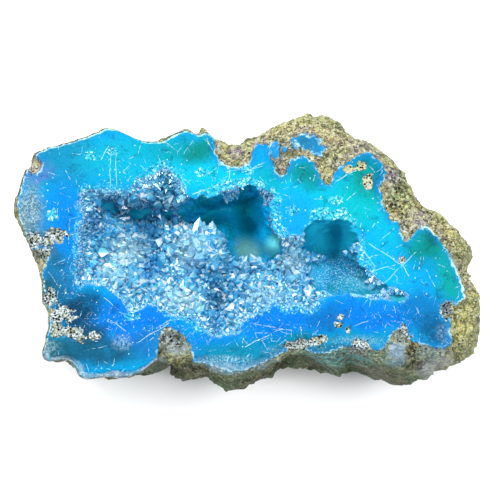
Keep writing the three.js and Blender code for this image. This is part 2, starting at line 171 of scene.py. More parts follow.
def smoothNoise(x, y, z):
    cell = [np.floor(v) for v in (x, y, z)]
    part = [v - c for v, c in zip((x, y, z), cell)]
    part = [t * t * (3 - 2 * t) for t in part]
    total = 0
    for corner in range(8):
        step = (corner & 1, (corner >> 1) & 1, (corner >> 2) & 1)
        weight = 1
        for one, share in zip(step, part):
            weight = weight * (share if one else 1 - share)
        total = total + weight * latticeValue(*(c + s for c, s in zip(cell, step)))
    return total


def roughness(x, y, z):
    crag = 1 - 2 * np.abs(smoothNoise(x / 7.5 + 9, y / 7.5, z / 6))
    return 0.55 * smoothNoise(x / 6, y / 6, z / 5) + 0.45 * crag


def fineRelief(x, y, z, size, octaves=3):
    total, strength, reach = 0, 1, 0
    for octave in range(octaves):
        scale = 2**octave / size
        total = total + strength * smoothNoise(x * scale + 31 * octave, y * scale, z * scale)
        reach += strength
        strength *= 0.55
    return total / reach


def smoothstep(x, low, high):
    t = np.clip((x - low) / (high - low), 0, 1)
    return t * t * (3 - 2 * t)


def smoothLoop(points, count):
    p = np.array(points, float)
    t = np.arange(count) / count * len(p)
    i = np.floor(t).astype(int)
    w = (t - i)[:, None]
    before, here, after, beyond = (p[(i + k) % len(p)] for k in (-1, 0, 1, 2))
    out, back = (after - before) / 2, (beyond - here) / 2
    cubic = 2 * here - 2 * after + out + back
    square = -3 * here + 3 * after - 2 * out - back
    return cubic * w**3 + square * w**2 + out * w + here


# Distance in from a loop, less than zero outside it.
def distanceInside(loop, x, y):
    a, b = loop, np.roll(loop, -1, axis=0)
    edge = b - a
    result = np.empty(x.size)
    for start in range(0, x.size, 4000):
        px, py = x[start:start + 4000, None], y[start:start + 4000, None]
        rx, ry = px - a[:, 0], py - a[:, 1]
        share = np.clip((rx * edge[:, 0] + ry * edge[:, 1]) / (edge**2).sum(1), 0, 1)
        near = np.sqrt(((rx - share * edge[:, 0])**2 + (ry - share * edge[:, 1])**2).min(1))
        spans = (a[:, 1] > py) != (b[:, 1] > py)
        crossing = a[:, 0] + edge[:, 0] * ry / np.where(edge[:, 1] == 0, 1e-9, edge[:, 1])
        inside = (spans & (px < crossing)).sum(1) % 2 == 1
        result[start:start + 4000] = np.where(inside, near, -near)
    return result


faceLoop = smoothLoop(faceOutline, 900)
loopAngles = np.arctan2(faceLoop[:, 1], faceLoop[:, 0])
loopOrder = np.argsort(loopAngles)
rimLoop = smoothLoop(hollowRim, 300)
liningLoop = smoothLoop(liningOutline, 260)


def faceRadius(angle):
    radii = np.hypot(faceLoop[:, 0], faceLoop[:, 1])[loopOrder]
    turned = np.arctan2(np.sin(angle), np.cos(angle))
    radius = np.interp(turned, loopAngles[loopOrder], radii, period=2 * math.pi)
    jag = fineRelief(radius * np.cos(angle), radius * np.sin(angle), 0 * angle, 1.5)
    return radius + stone["jaggedEdge"] * jag


def stoneRadius(angle, depth):
    degrees = np.degrees(angle) % 360
    bulge = np.interp(degrees, *zip(*bulgeKnots))
    toWidest = np.clip(depth / stone["widestDepth"], 0, 1)
    below = np.clip((depth - stone["widestDepth"]) / (stone["faceHeight"] - stone["widestDepth"]), 0, 1)
    taper = 1 - (1 - stone["restScale"]) * (1 - np.sqrt(1 - below * below * 0.98))
    radius = (faceRadius(angle) + bulge * np.sin(toWidest * math.pi / 2)) * taper
    strength = stone["lumpHeight"] * smoothstep(depth, 0, 9)
    return radius + strength * roughness(radius * np.cos(angle), radius * np.sin(angle), depth)


def ellipseReach(x, y, ellipses):
    nearest = [np.hypot((x - ex) / across, (y - ey) / along) for ex, ey, across, along in ellipses]
    return np.min(nearest, axis=0)


def isBare(x, y, z, margin=0.0):
    wobble = 0.1 * fineRelief(x, y, z, 1.4, 2) + 0.34 * fineRelief(x, y, z + 5, 3.4, 2)
    reaches = [
        np.sqrt(sum(((v - a) / (s + margin))**2 for v, a, s in zip((x, y, z), at, size)))
        for at, size in bareStretches
    ]
    return np.min(reaches, axis=0) + wobble < 1


def rimDistance(x, y):
    wobble = fineRelief(x, y, 0 * x, 2.6, 2) + 0.5 * fineRelief(x, y, 1 + 0 * x, 0.9, 2)
    return distanceInside(rimLoop, x, y) + hollow["rimWobble"] * wobble


def hollowDepth(x, y, fromRim):
    floor = hollow["shallowDepth"]
    for bx, by, across, along, depth in basins:
        floor = floor + depth * np.exp(-((x - bx) / across)**2 - ((y - by) / along)**2)
    inside = np.maximum(fromRim, 0)
    return np.maximum(1, floor) * (1 - np.exp(-inside / hollow["rimSlope"]))


def hollowPoint(x, y, inset=0.0):
    depth = hollowDepth(x, y, rimDistance(x, y)) - inset
    lean = hollow["leanBase"]
    for lx, across, extra in leans:
        lean = lean + extra * np.exp(-((x - lx) / across)**2)
    return np.stack([x, y + lean * depth, stone["faceHeight"] - depth], axis=1)


# Meshes


def intoScene(name, data):
    made = bpy.data.objects.new(name, data)
    bpy.context.scene.collection.objects.link(made)
    return made


def meshObject(name, points, faces, attributes=None, smooth=True):
    mesh = bpy.data.meshes.new(name)
    low, high = np.array(cadBox[0]), np.array(cadBox[1])
    places = (np.asarray(points) - boxMiddle) * millimetre
    clearance = stone["clearance"] * millimetre
    places[:, :2] = np.clip(places[:, :2], low[:2] + clearance, high[:2] - clearance)
    places[:, 2] = np.clip(places[:, 2], low[2], high[2])
    mesh.vertices.add(len(places))
    mesh.vertices.foreach_set("co", places.astype(np.float32).ravel())
    corners = np.concatenate([np.asarray(f).ravel() for f in faces])
    sizes = np.concatenate([np.full(len(f), f.shape[1]) for f in faces])
    mesh.loops.add(len(corners))
    mesh.loops.foreach_set("vertex_index", corners.astype(np.int32))
    mesh.polygons.add(len(sizes))
    starts = np.concatenate([[0], np.cumsum(sizes)[:-1]])
    mesh.polygons.foreach_set("loop_start", starts.astype(np.int32))
    mesh.update(calc_edges=True)
    mesh.validate()
    for key, values in (attributes or {}).items():
        layer = mesh.attributes.new(key, "FLOAT", "POINT")
        layer.data.foreach_set("value", np.asarray(values, np.float32))
    mesh.polygons.foreach_set("use_smooth", np.full(len(mesh.polygons), smooth))
    return intoScene(name, mesh)


# Closes an open sheet: walls down from its edges, kept inside the flank, to a flat floor.
def closeBelow(made, walls):
    mesh = bmesh.new()
    mesh.from_mesh(made.data)
    mesh.verts.ensure_lookup_table()
    loose = [v for v in mesh.verts if not v.link_faces]
    bmesh.ops.delete(mesh, geom=loose, context="VERTS")
    edges = [e for e in mesh.edges if e.is_boundary]
    for height in walls["heights"]:
        grown = bmesh.ops.extrude_edge_only(mesh, edges=edges)["geom"]
        lower = [g for g in grown if isinstance(g, bmesh.types.BMVert)]
        spots = np.array([v.co[:2] for v in lower]) / millimetre + boxMiddle[:2]
        angle = np.arctan2(spots[:, 1], spots[:, 0])
        outer = stoneRadius(angle, stone["faceHeight"] - height) - walls["cover"]
        radius = np.minimum(np.hypot(*spots.T) * walls["shrink"], outer)
        for vertex, turn, reach in zip(lower, angle, radius):
            vertex.co.x = (reach * math.cos(turn) - boxMiddle[0]) * millimetre
            vertex.co.y = (reach * math.sin(turn) - boxMiddle[1]) * millimetre
            vertex.co.z = height * millimetre
        edges = [g for g in grown if isinstance(g, bmesh.types.BMEdge)]
    bmesh.ops.triangle_fill(mesh, edges=edges, use_beauty=False)
    bmesh.ops.recalc_face_normals(mesh, faces=mesh.faces)
    mesh.to_mesh(made.data)
    mesh.free()
    made.data.set_sharp_from_angle(angle=math.radians(stone["sharpAngle"]))


# Quads between neighbouring rings of points.
def ringQuads(rows):
    quads = [np.stack([upper, lower, np.roll(lower, -1), np.roll(upper, -1)], 1)
             for upper, lower in zip(rows, rows[1:])]
    return np.concatenate(quads)


# The cut face and the hollow: rings of points from the middle out, then the middle itself.
def faceSheet(angles):
    edge = faceRadius(angles)
    inner = edge - stone["thinRind"]
    shares = np.arange(1, stone["faceRings"] + 1) / stone["faceRings"]
    rings = [inner * share for share in shares]
    rings += [inner + stone["thinRind"] * share for share in (0.3, 0.55, 0.75, 0.9, 1)]
    radius = np.array(rings)
    x = np.append((radius * np.cos(angles)).ravel(), 0)
    y = np.append((radius * np.sin(angles)).ravel(), 0)
    fromEdge = np.append((edge - radius).ravel(), edge.min())
    plainLining = distanceInside(liningLoop, x, y)
    island = 1.2 * (1 - ellipseReach(x, y, islands))
    lining = np.where(plainLining < 0, np.maximum(plainLining, island), plainLining)
    lining = np.minimum(lining, 1.5 * (ellipseReach(x, y, bays) - 1))
    grit = 1 - ellipseReach(x, y, inclusions)
    fromRim = rimDistance(x, y)
    points = hollowPoint(x, y)
    rindShare = smoothstep(-lining, -0.2, 0.7)
    chamfer = smoothstep(-y, 14, 20) * smoothstep(lining, -0.5, 0.5)
    gritShare = smoothstep(grit, -0.1, 0.4)
    ground = fineRelief(x, y, 0 * x, 2.2, 4)
    roundOff = 1.8 * rindShare * np.clip(1 - fromEdge / 5, 0, 1)**2
    roundOff += 0.35 * np.clip(1 - fromEdge / 0.9, 0, 1)**2
    roundOff += 1.1 * chamfer * np.clip(1.3 - fromEdge / 1.6, 0, 1)
    wear = rindShare * (0.35 + 1.3 * np.clip(0.25 + ground, 0, 2))
    wear += gritShare * np.clip(0.2 + 0.9 * ground, 0, 1)
    wear += np.maximum(rindShare, gritShare) * stone["grain"] * fineRelief(x, y, 0 * x, 1.0, 2)
    points[:, 2] -= np.maximum(roundOff + wear * 0.8, 0)
    caveDepth = np.where(fromRim > 0, stone["faceHeight"] - points[:, 2], 0)
    masks = {"lining": lining, "grit": grit, "fromRim": fromRim, "bare": isBare(*points.T).astype(float),
             "caveDepth": caveDepth, "fromEdge": fromEdge}
    return points, masks, np.minimum(plainLining, fromEdge - stone["thinRind"] + 0.01)


# The flank and the underside: rings of points downwards and in, then the middle of the base.
def flankSheet(angles, startDepth):
    levels = (np.arange(1, stone["flankRings"] + 1) / stone["flankRings"])[:, None]
    depth = startDepth + (stone["faceHeight"] - startDepth) * levels
    radius = stoneRadius(np.broadcast_to(angles, depth.shape), depth)
    cos, sin = np.cos(angles), np.sin(angles)
    x, y = radius * cos, radius * sin
    worn = smoothstep(depth, 0, 2.5)
    crags = fineRelief(x, y, depth, 3.2, 4)
    radius -= worn * (0.25 + 1.4 * np.clip(crags, -0.35, 1))
    radius -= worn * stone["grain"] * fineRelief(x, y, depth, 1.1, 2)
    flank = np.stack([radius * cos, radius * sin, stone["faceHeight"] - depth], -1)
    shrink = (np.arange(stone["baseRings"] - 1, 0, -1) / stone["baseRings"])[:, None]
    x, y = flank[-1, :, 0] * shrink, flank[-1, :, 1] * shrink
    lift = 0.5 * np.clip(fineRelief(x, y, 0 * x, 4, 3), 0, 1) * np.clip(3 * (1 - shrink), 0, 1)
    base = np.stack([x, y, lift], -1)
    fromEdge = np.concatenate([-depth.ravel(), np.full(x.size + 1, -40.0)])
    return np.concatenate([flank.reshape(-1, 3), base.reshape(-1, 3), [[0, 0, 0.3]]]), fromEdge


# What the masks say below the cut face.
lowMasks = {"lining": -3.0, "grit": -3.0, "fromRim": -20.0, "bare": 0.0, "caveDepth": 0.0}


# The whole skin of the stone, split into chalcedony and rind.
def stoneSheets():
    spokes = stone["spokes"]
    angles = (np.arange(spokes) + 0.5) / spokes * 2 * math.pi
    face, masks, plainLining = faceSheet(angles)
    print("face and hollow laid out")
    low, lowFromEdge = flankSheet(angles, stone["faceHeight"] - face[-1 - spokes:-1, 2])
    attributes = {}
    for key, values in masks.items():
        below = lowFromEdge if key == "fromEdge" else np.full(len(low), lowMasks[key])
        attributes[key] = np.concatenate([values, below])
    faceCentre, baseCentre = len(face) - 1, len(face) + len(low) - 1
    ring = np.arange(spokes)
    faceRows = [start + ring for start in range(0, faceCentre, spokes)]
    lowRows = [faceRows[-1]] + [start + ring for start in range(faceCentre + 1, baseCentre, spokes)]
    faceFan = np.stack([np.full(spokes, faceCentre), ring, np.roll(ring, -1)], 1)
    baseFan = np.stack([lowRows[-1], np.full(spokes, baseCentre), np.roll(lowRows[-1], -1)], 1)
    faceQuads = ringQuads(faceRows)
    isLining = plainLining[faceQuads].mean(1) > 0
    rindQuads = np.concatenate([faceQuads[~isLining], ringQuads(lowRows)])
    return np.concatenate([face, low]), attributes, faceQuads[isLining], faceFan, rindQuads, baseFan


points, attributes, liningQuads, faceFan, rindQuads, baseFan = stoneSheets()
chalcedony = meshObject("chalcedonyLining", points, [liningQuads, faceFan], attributes)
closeBelow(chalcedony, liningWalls)
print("chalcedony made:", len(chalcedony.data.polygons), "faces")
rind = meshObject("rindRock", points, [rindQuads, baseFan], attributes)
closeBelow(rind, rindWalls)
print("rind made:", len(rind.data.polygons), "faces")


# Quartz points

druse = {
    "count": 7400,
    "step": 0.35,         # spacing of the places that a point may take
    "across": (-37.5, 35.5),
    "along": (-19, 20.5),
    "girth": 0.44,
    "length": 2.5,        # against the girth
    "squash": (0.75, 1.1),
    "shoulder": (0.3, 0.55),
    "shoulderGirth": 0.93,
    "shoulderJag": 0.07,
    "tipWander": 0.25,
    "outward": 0.7,       # how far a point follows the wall's slope, the vertical and chance
    "upward": 0.35,
    "sway": 0.7,
    "sunk": 0.3,          # part of the girth that stands in the crust
    # painted glints and painted shade on tip facets, by how they face the key light:
    "glintShare": 0.42,
    "glintFrom": 0.55,    # how squarely a facet must look at the light to glint
    "glintTowards": (-0.12, 0.5, 0.86),
}

# Stretches of large points: middle, breadth each way, strength.
largePoints = [(-27, 0, 7, 9, 1.0), (-8, 1, 5, 4, 1.0), (-20, 15, 5, 4, 0.9)]


# Places of the points, spread evenly over the slopes where crystals grow.
def drusePlaces():
    step, probe = druse["step"], 0.2
    gx, gy = np.meshgrid(np.arange(*druse["across"], step), np.arange(*druse["along"], step))
    gx, gy = gx.ravel(), gy.ravel()
    spot = hollowPoint(gx, gy)
    east = hollowPoint(gx + probe, gy) - spot
    north = hollowPoint(gx, gy + probe) - spot
    area = np.linalg.norm(np.cross(east, north), axis=1) / probe**2
    fromRim = rimDistance(gx, gy)
    growing = (fromRim > -0.15) & ~isBare(*spot.T)
    weight = np.where(growing, np.minimum(area, 4), 0)
    total = np.cumsum(weight)
    count = druse["count"]
    spread = (np.arange(count) + rng.random(count)) / count * total[-1]
    picks = np.searchsorted(total, spread)
    x = gx[picks] + step * (rng.random(len(picks)) - 0.5)
    y = gy[picks] + step * (rng.random(len(picks)) - 0.5)
    return x, y


def unit(vectors):
    return vectors / np.linalg.norm(vectors, axis=1)[:, None]


# Six-sided points of the given girths and lengths, each upright at its own origin.
def pointShapes(girth, length):
    count = len(girth)
    turn = np.arange(6) / 6 * 2 * math.pi
    ring = np.stack([np.cos(turn), np.sin(turn)], 1)
    squash = rng.uniform(*druse["squash"], (count, 1))
    shoulder = rng.uniform(*druse["shoulder"], (count, 1))
    wander = rng.uniform(-druse["tipWander"], druse["tipWander"], (count, 2))
    local = np.zeros((count, 13, 3))
    local[:, 0:6, 0:2] = ring
    local[:, 6:12, 0:2] = ring * druse["shoulderGirth"]
    local[:, 6:12, 2] = shoulder + druse["shoulderJag"] * np.array([1, -1, 1, -1, 1, -1])
    local[:, 12, 0:2] = wander
    local[:, 12, 2] = 1
    local[:, :, 1] *= squash
    local[:, :, 0:2] *= girth[:, None, None]
    local[:, :, 2] *= length[:, None]
    local[:, :, 2] -= druse["sunk"] * girth[:, None]
    return local


# A tone for each facet: sides at half tone, tips and feet. Tips that face the key light get a painted glint,
# the other tips a painted shade by how far they turn from it.
def facetTones(corners):
    count = len(corners)
    own = np.repeat(rng.random(count), 6)
    sideTones = 0.65 * rng.random(count * 6) + 0.35 * own
    tipTones = 0.65 * rng.random(count * 6) + 0.35 * own
    glint = rng.random(count * 6) < druse["glintShare"]
    shoulders, tip = corners[:, 6:12], corners[:, 12:13]
    lean = np.cross(np.roll(shoulders, -1, axis=1) - shoulders, tip - shoulders).reshape(-1, 3)
    lean /= np.linalg.norm(lean, axis=1)[:, None] + 1e-9
    litUp = lean @ np.array(druse["glintTowards"])
    shaded = tipTones * np.clip(0.45 + 0.55 * litUp, 0.25, 0.9)
    tipTones = np.where(glint & (litUp > druse["glintFrom"]), 1.0, shaded)
    return np.concatenate([sideTones * 0.5, tipTones, np.zeros(count)])


def drusePiece():
    x, y = drusePlaces()
    root = hollowPoint(x, y)
    east = hollowPoint(x + 0.5, y) - hollowPoint(x - 0.5, y)
    north = hollowPoint(x, y + 0.5) - hollowPoint(x, y - 0.5)
    normal = unit(np.cross(east, north))
    count = len(x)
    fromRim = rimDistance(x, y)
    large = 0
    for lx, ly, across, along, strength in largePoints:
        large = large + strength * np.exp(-((x - lx) / across)**2 - ((y - ly) / along)**2)
    fine = smoothstep(fromRim, 0, 2.5)
    girth = druse["girth"] * (0.55 + 0.45 * fine + 0.55 * large)
    girth = girth * np.exp(rng.normal(-0.1, 0.45, count)).clip(0.4, 2.4)
    length = girth * druse["length"] * rng.uniform(0.7, 1.25, count)
    sway = druse["sway"] * rng.normal(0, 0.6, (count, 3))
    axis = unit(druse["outward"] * normal + np.array([0, 0, druse["upward"]]) + sway)
    side = unit(np.cross(axis, rng.normal(0, 1, (count, 3))))
    other = np.cross(axis, side)
    local = pointShapes(girth, length)
    vertices = root[:, None] + local[..., 0:1] * side[:, None] + local[..., 1:2] * other[:, None]
    vertices = vertices + local[..., 2:3] * axis[:, None]
    tooHigh = np.maximum(vertices[:, :, 2].max(1) - stone["faceHeight"] + 0.02, 0)
    vertices[:, :, 2] -= tooHigh[:, None]
    base = np.arange(count)[:, None] * 13
    k = np.arange(6)
    nextOne = (k + 1) % 6
    sides = np.stack([k, nextOne, nextOne + 6, k + 6], 1)
    tips = np.stack([k + 6, nextOne + 6, np.full(6, 12)], 1)
    sides = (base[:, None] + sides).reshape(-1, 4)
    tips = (base[:, None] + tips).reshape(-1, 3)
    foot = base + k[::-1]
    made = meshObject("quartzDruse", vertices.reshape(-1, 3), [sides, tips, foot], smooth=False)
    tone = made.data.attributes.new("facetToneGlintShade", "FLOAT", "FACE")
    tone.data.foreach_set("value", facetTones(vertices).astype(np.float32))
    return made


quartz = drusePiece()
print("druse made:", len(quartz.data.polygons), "facets")


# Material helpers


def linear(hexColour):
    parts = [int(hexColour[i:i + 2], 16) / 255 for i in (1, 3, 5)]
    return tuple(p / 12.92 if p <= 0.04045 else ((p + 0.055) / 1.055)**2.4 for p in parts) + (1.0,)


# Adds nodes to a material or a node group. An input is a socket, a number or a hex colour.
class NodeNet:
    def __init__(self, tree):
        self.tree = tree

    def fill(self, node, inputs):
        for key, value in inputs.items():
            if isinstance(value, bpy.types.NodeSocket):
                self.tree.links.new(value, node.inputs[key])
            else:
                plain = linear(value) if isinstance(value, str) else value
                node.inputs[key].default_value = plain

    def add(self, kind, inputs=None, **settings):
        node = self.tree.nodes.new("ShaderNode" + kind)
        for key, value in settings.items():
            setattr(node, key, value)
        self.fill(node, inputs or {})
        return node.outputs

    def maths(self, operation, *values, clamp=False):
        return self.add("Math", dict(enumerate(values)), operation=operation, use_clamp=clamp)[0]

    def times(self, a, b):
        return self.maths("MULTIPLY", a, b)

    def vector(self, operation, *values):
        return self.add("VectorMath", dict(enumerate(values)), operation=operation)[0]

    def mix(self, share, a, b, blend="MIX"):
        return self.add("Mix", {0: share, 6: a, 7: b}, data_type="RGBA", blend_type=blend)[2]

    def blend(self, share, a, b):
        return self.add("Mix", {0: share, 2: a, 3: b})[0]

    def remap(self, value, low, high, toLow=0.0, toHigh=1.0):
        inputs = {"Value": value, "From Min": low, "From Max": high, "To Min": toLow, "To Max": toHigh}
        return self.add("MapRange", inputs, interpolation_type="SMOOTHSTEP")[0]

    # Lays a tone over a colour where a value goes from low to high.
    def tint(self, colour, tone, value, low, high, most=1.0):
        return self.mix(self.remap(value, low, high, 0.0, most), colour, tone)

    def noise(self, place, scale, detail=3.0, rough=0.5, distortion=0.0):
        inputs = {"Vector": place, "Scale": scale, "Detail": detail, "Roughness": rough,
                  "Distortion": distortion}
        return self.add("TexNoise", inputs)[0]

    def cells(self, place, scale, **settings):
        return self.add("TexVoronoi", {"Vector": place, "Scale": scale}, **settings)

    def chances(self, colour):
        return self.add("SeparateColor", {0: colour})

    def parts(self, place):
        return self.add("SeparateXYZ", {0: place})

    def attribute(self, name):
        return self.add("Attribute", attribute_name=name)["Fac"]

    # Place on the stone in millimetres, in the outlines' frame.
    def stonePlace(self):
        where = self.add("TexCoord")["Object"]
        return self.vector("MULTIPLY_ADD", where, (1 / millimetre,) * 3, tuple(boxMiddle))

    # Share of a soft round patch at a place: middle, reach, strength.
    def softPatch(self, place, x, y, across, along, strength, below=200):
        inputs = {"Vector": place, "Location": (x, y, stone["faceHeight"]), "Scale": (across, along, below)}
        local = self.add("Mapping", inputs, vector_type="TEXTURE")[0]
        soft = self.add("TexGradient", {"Vector": local}, gradient_type="SPHERICAL")[1]
        return self.remap(soft, 0.0, 0.75, 0.0, strength)

    # Lays soft round patches over a ground colour: middle, reach, colour, strength.
    def patchwork(self, place, ground, patches, below=200):
        colour = ground
        for x, y, across, along, hexColour, strength in patches:
            share = self.softPatch(place, x, y, across, along, strength, below)
            colour = self.mix(share, colour, hexColour)
        return colour

    # The strongest of several soft round patches: middle, reach, strength.
    def patchShare(self, place, patches):
        share = 0.0
        for patch in patches:
            share = self.maths("MAXIMUM", self.softPatch(place, *patch), share)
        return share

    def use(self, group, inputs):
        node = self.tree.nodes.new("ShaderNodeGroup")
        node.node_tree = group
        self.fill(node, inputs)
        return node.outputs


socketKinds = {"Place": "NodeSocketVector", "Color": "NodeSocketColor"}  # all others are numbers


def newGroup(name, inputs, outputs):
    tree = bpy.data.node_groups.new(name, "ShaderNodeTree")
    for key, value in inputs.items():
        kind = socketKinds.get(key, "NodeSocketFloat")
        socket = tree.interface.new_socket(key, in_out="INPUT", socket_type=kind)
        if value is not None:
            socket.default_value = value
    for key in outputs:
        kind = socketKinds.get(key, "NodeSocketFloat")
        tree.interface.new_socket(key, in_out="OUTPUT", socket_type=kind)
    given = tree.nodes.new("NodeGroupInput").outputs
    return NodeNet(tree), given, tree.nodes.new("NodeGroupOutput")


# One short straight scratch in each cell, each with its own direction.
def buildScratches():
    inputs = {"Place": None, "Cell": 4.0, "Length": 0.3, "Width": 0.012}
    net, given, made = newGroup("fineScratches", inputs, ["Mask"])
    size = net.maths("DIVIDE", 1.0, given["Cell"])
    cells = net.cells(given["Place"], size, voronoi_dimensions="2D")
    local = net.vector("SUBTRACT", given["Place"], cells["Position"])
    chance = net.chances(cells["Color"])
    angle = net.times(chance[0], 6.283)
    turned = net.add("VectorRotate", {"Vector": local, "Angle": angle}, rotation_type="Z_AXIS")
    parts = net.parts(turned[0])
    bend = net.times(net.maths("SINE", net.times(parts[0], 2.0)), 0.05)
    across = net.maths("ABSOLUTE", net.maths("ADD", parts[1], bend))
    along = net.maths("ABSOLUTE", parts[0])
    reach = net.times(net.times(given["Length"], given["Cell"]), chance[1])
    thin = net.maths("LESS_THAN", across, given["Width"])
    short = net.maths("LESS_THAN", along, reach)
    net.fill(made, {"Mask": net.times(thin, short)})
    return net.tree


lookOutputs = ["Color", "Roughness", "Height"]

# Lighter, darker and stained places of the rind, with painted shade in two near-black holes at the lower
# right and dark olive on the front flank that is partly rock and partly painted shade: middle, reach,
# colour, strength.
rindPatches = [
    (11, 27.5, 8, 3.5, "#cfcf82", 0.9), (14, 25.5, 4, 2.5, "#e2c07a", 0.7), (20, 25, 5, 3, "#c2ac90", 0.6),
    (-3, 22.6, 2.6, 2.6, "#8f7cb8", 0.9), (24, 24, 4, 2.4, "#a29ab4", 0.6), (31, 17, 3, 3, "#a08fc0", 0.75),
    (30.8, 13.4, 3, 4, "#64805c", 0.9), (36, 8, 4, 3, "#9c8aa8", 0.7), (42, 5, 4, 4, "#c4b878", 0.7),
    (47, -8, 3, 8, "#c0c074", 0.8), (44, -16, 6, 6, "#c6c474", 0.9), (40.5, -24.4, 7, 4, "#ccd2e0", 0.9),
    (38.6, -21.2, 5, 2.6, "#94b8c4", 0.95), (31.2, -21.2, 3.6, 3.4, "#9cc0e0", 1.0),
    (-5, 25, 5, 3, "#c2c488", 0.8), (-47, 14, 4, 5, "#76806a", 0.8), (-46, 19, 3, 3, "#9a86c4", 0.7),
    (-48, 2, 4, 8, "#6f765e", 0.8), (-15.4, -19.8, 6, 3.6, "#a8bcc8", 1.0),
    (18, -24, 14, 4.6, "#54a08c", 0.95), (9, 24, 5, 3, "#b4d0b0", 0.8), (19, -22, 13, 2.4, "#48a4ac", 1.0),
    (-12, -24.6, 14, 3.4, "#4a4e26", 0.9), (28, -27, 10, 4, "#6a6c34", 0.9),
    (34.4, -21.4, 2, 2.8, "#1c200c", 1.0), (35.2, -23.8, 2.4, 1.6, "#1c200c", 0.9),
    (31, -27, 6, 3, "#3c5038", 0.9),
]

# Its deepest holes, painted near black as shade.
rindHoles = [(31.6, 10.8, 2.6, 4, 1.0), (-17, -18.5, 3, 2.4, 1.0), (32.2, 14.2, 1.4, 1.6, 1.0)]

# Paler rock with few flecks, kept clear of the dark strata laid over the painted shade.
smoothRock = [(31.2, -21.2, 4, 3.4, 0.65), (38.5, -22.4, 8, 4.4, 0.1), (-15, -20.6, 4, 2.6, 0.7)]

# shade and deepShade are painted shade on the front flank; the near-black is painted shade in pits and
# crevices.
rindLook = {
    "ground": "#a8ae70", "light": "#e2e6b4", "dark": "#4c5030", "shadedPore": "#141409", "chalk": "#eceadc",
    "tan": "#c4b4a0", "lilac": "#a696c0", "violet": "#8f7ab8", "rose": "#cc9c80", "gold": "#e3c85c",
    "moss": "#7c9456", "shade": "#2a5640", "deepShade": "#1a1c0e", "toned": "#ecebe6", "stain": "#4c4830",
}


def buildRindLook():
    net, given, made = newGroup("rindLook", {"Place": None, "Lining": -5.0}, lookOutputs)
    place = given["Place"]
    broad = net.noise(place, 0.22, 3)
    medium = net.noise(place, 0.7, 4, 0.65)
    fine = net.noise(place, 3.2, 3, 0.65)
    grain = net.noise(place, 9.0, 2, 0.5)
    parts = net.parts(place)
    colour = net.mix(net.remap(broad, 0.5, 0.62, 0, 0.5), rindLook["ground"], rindLook["moss"])
    # painted shade: the front flank below the face is darkened towards the shade colour, as if lit from
    # behind and above
    low = net.times(net.remap(parts[2], 33.8, 30.5), net.remap(parts[1], -15, -21, 0.12, 1))
    low = net.times(low, net.remap(parts[0], 43, 37, 0.15, 1))
    colour = net.mix(net.times(low, 0.85), colour, rindLook["shade"])
    stain = net.remap(net.noise(place, 0.12, 6, 0.68), 0.48, 0.6, 0, 0.8)
    stain = net.times(stain, net.remap(parts[2], 32, 25))
    colour = net.mix(stain, colour, rindLook["stain"])
    colour = net.patchwork(place, colour, rindPatches, 16)
    even = net.patchShare(place, smoothRock)
    # dark strata, laid only over the front flank's painted shade and not on the paler rock
    layers = net.vector("MULTIPLY", place, (0.25, 0.25, 1.0))
    band = net.remap(net.noise(layers, 0.7, 4, 0.6, 0.4), 0.48, 0.58, 0, 0.7)
    band = net.times(band, net.maths("SUBTRACT", low, even, clamp=True))
    colour = net.mix(band, colour, rindLook["deepShade"])
    away = net.remap(parts[2], 32, 22)
    # fewer light flecks in the painted shade of the front flank, and lower down
    contrast = net.maths("SUBTRACT", net.maths("MULTIPLY_ADD", low, -0.6, 1.0), even, clamp=True)
    contrast = net.times(contrast, net.maths("MULTIPLY_ADD", away, -0.5, 1.0))

    # growth beside the chalcedony: tan, lilac and chalky
    beside = net.times(net.remap(given["Lining"], -2.6, -0.9), contrast)
    beside = net.times(beside, net.remap(medium, 0.4, 0.55))
    beside = net.times(beside, net.remap(parts[1], -12, -4))
    edgeTone = net.mix(net.remap(broad, 0.46, 0.54), rindLook["tan"], rindLook["lilac"])
    colour = net.mix(net.times(beside, 0.75), colour, edgeTone)

    def lay(share, strength, key):
        amount = net.times(net.times(share, strength), contrast)
        return net.mix(amount, colour, rindLook[key])

    colour = lay(net.remap(medium, 0.52, 0.62), 0.6, "light")
    colour = lay(net.remap(medium, 0.46, 0.38), 0.5, "dark")
    for key, scale, offset in (("violet", 0.8, 11), ("rose", 0.9, 23), ("gold", 1.1, 37)):
        shifted = net.vector("ADD", place, (offset, offset, 0))
        fleck = net.noise(shifted, scale, 5, 0.75)
        colour = lay(net.remap(fleck, 0.57, 0.64), 0.65, key)
    crumbs = net.cells(place, 2.1)
    crumb = net.chances(crumbs["Color"])[0]
    for value, low, high, strength, key in (
            (crumb, 0.7, 0.78, 0.45, "light"), (crumb, 0.93, 0.96, 0.5, "chalk"),
            (crumb, 0.24, 0.18, 0.5, "dark"), (fine, 0.54, 0.64, 0.5, "light"),
            (fine, 0.45, 0.38, 0.6, "dark")):
        colour = lay(net.remap(value, low, high), strength, key)
    # painted shade: pits, holes and thin seams coloured near black, as shade in them
    pits = net.cells(place, 0.95)[0]
    holed = net.patchShare(place, rindHoles)
    porous = net.maths("MAXIMUM", net.remap(net.noise(place, 0.35, 2), 0.5, 0.6), holed)
    shadedPore = net.times(net.remap(net.maths("MULTIPLY_ADD", holed, -0.12, pits), 0.32, 0.22), porous)
    seams = net.maths("ABSOLUTE", net.maths("SUBTRACT", net.noise(place, 0.4, 5, 0.62, 0.3), 0.5))
    shadedPore = net.maths("MAXIMUM", shadedPore, net.remap(seams, 0.022, 0.006, 0, 0.8))
    colour = lay(shadedPore, 0.95, "shadedPore")
    relief = net.maths("ADD", net.times(medium, 2.4), net.times(fine, 0.9))
    relief = net.maths("ADD", relief, net.times(grain, 0.2))
    relief = net.maths("SUBTRACT", relief, net.times(crumbs[0], 0.5))
    relief = net.maths("SUBTRACT", relief, shadedPore)
    colour = net.mix(1.0, colour, rindLook["toned"], "MULTIPLY")
    matt = net.remap(fine, 0.35, 0.7, 0.75, 0.35)
    net.fill(made, {"Color": colour, "Roughness": matt, "Height": relief})
    return net.tree


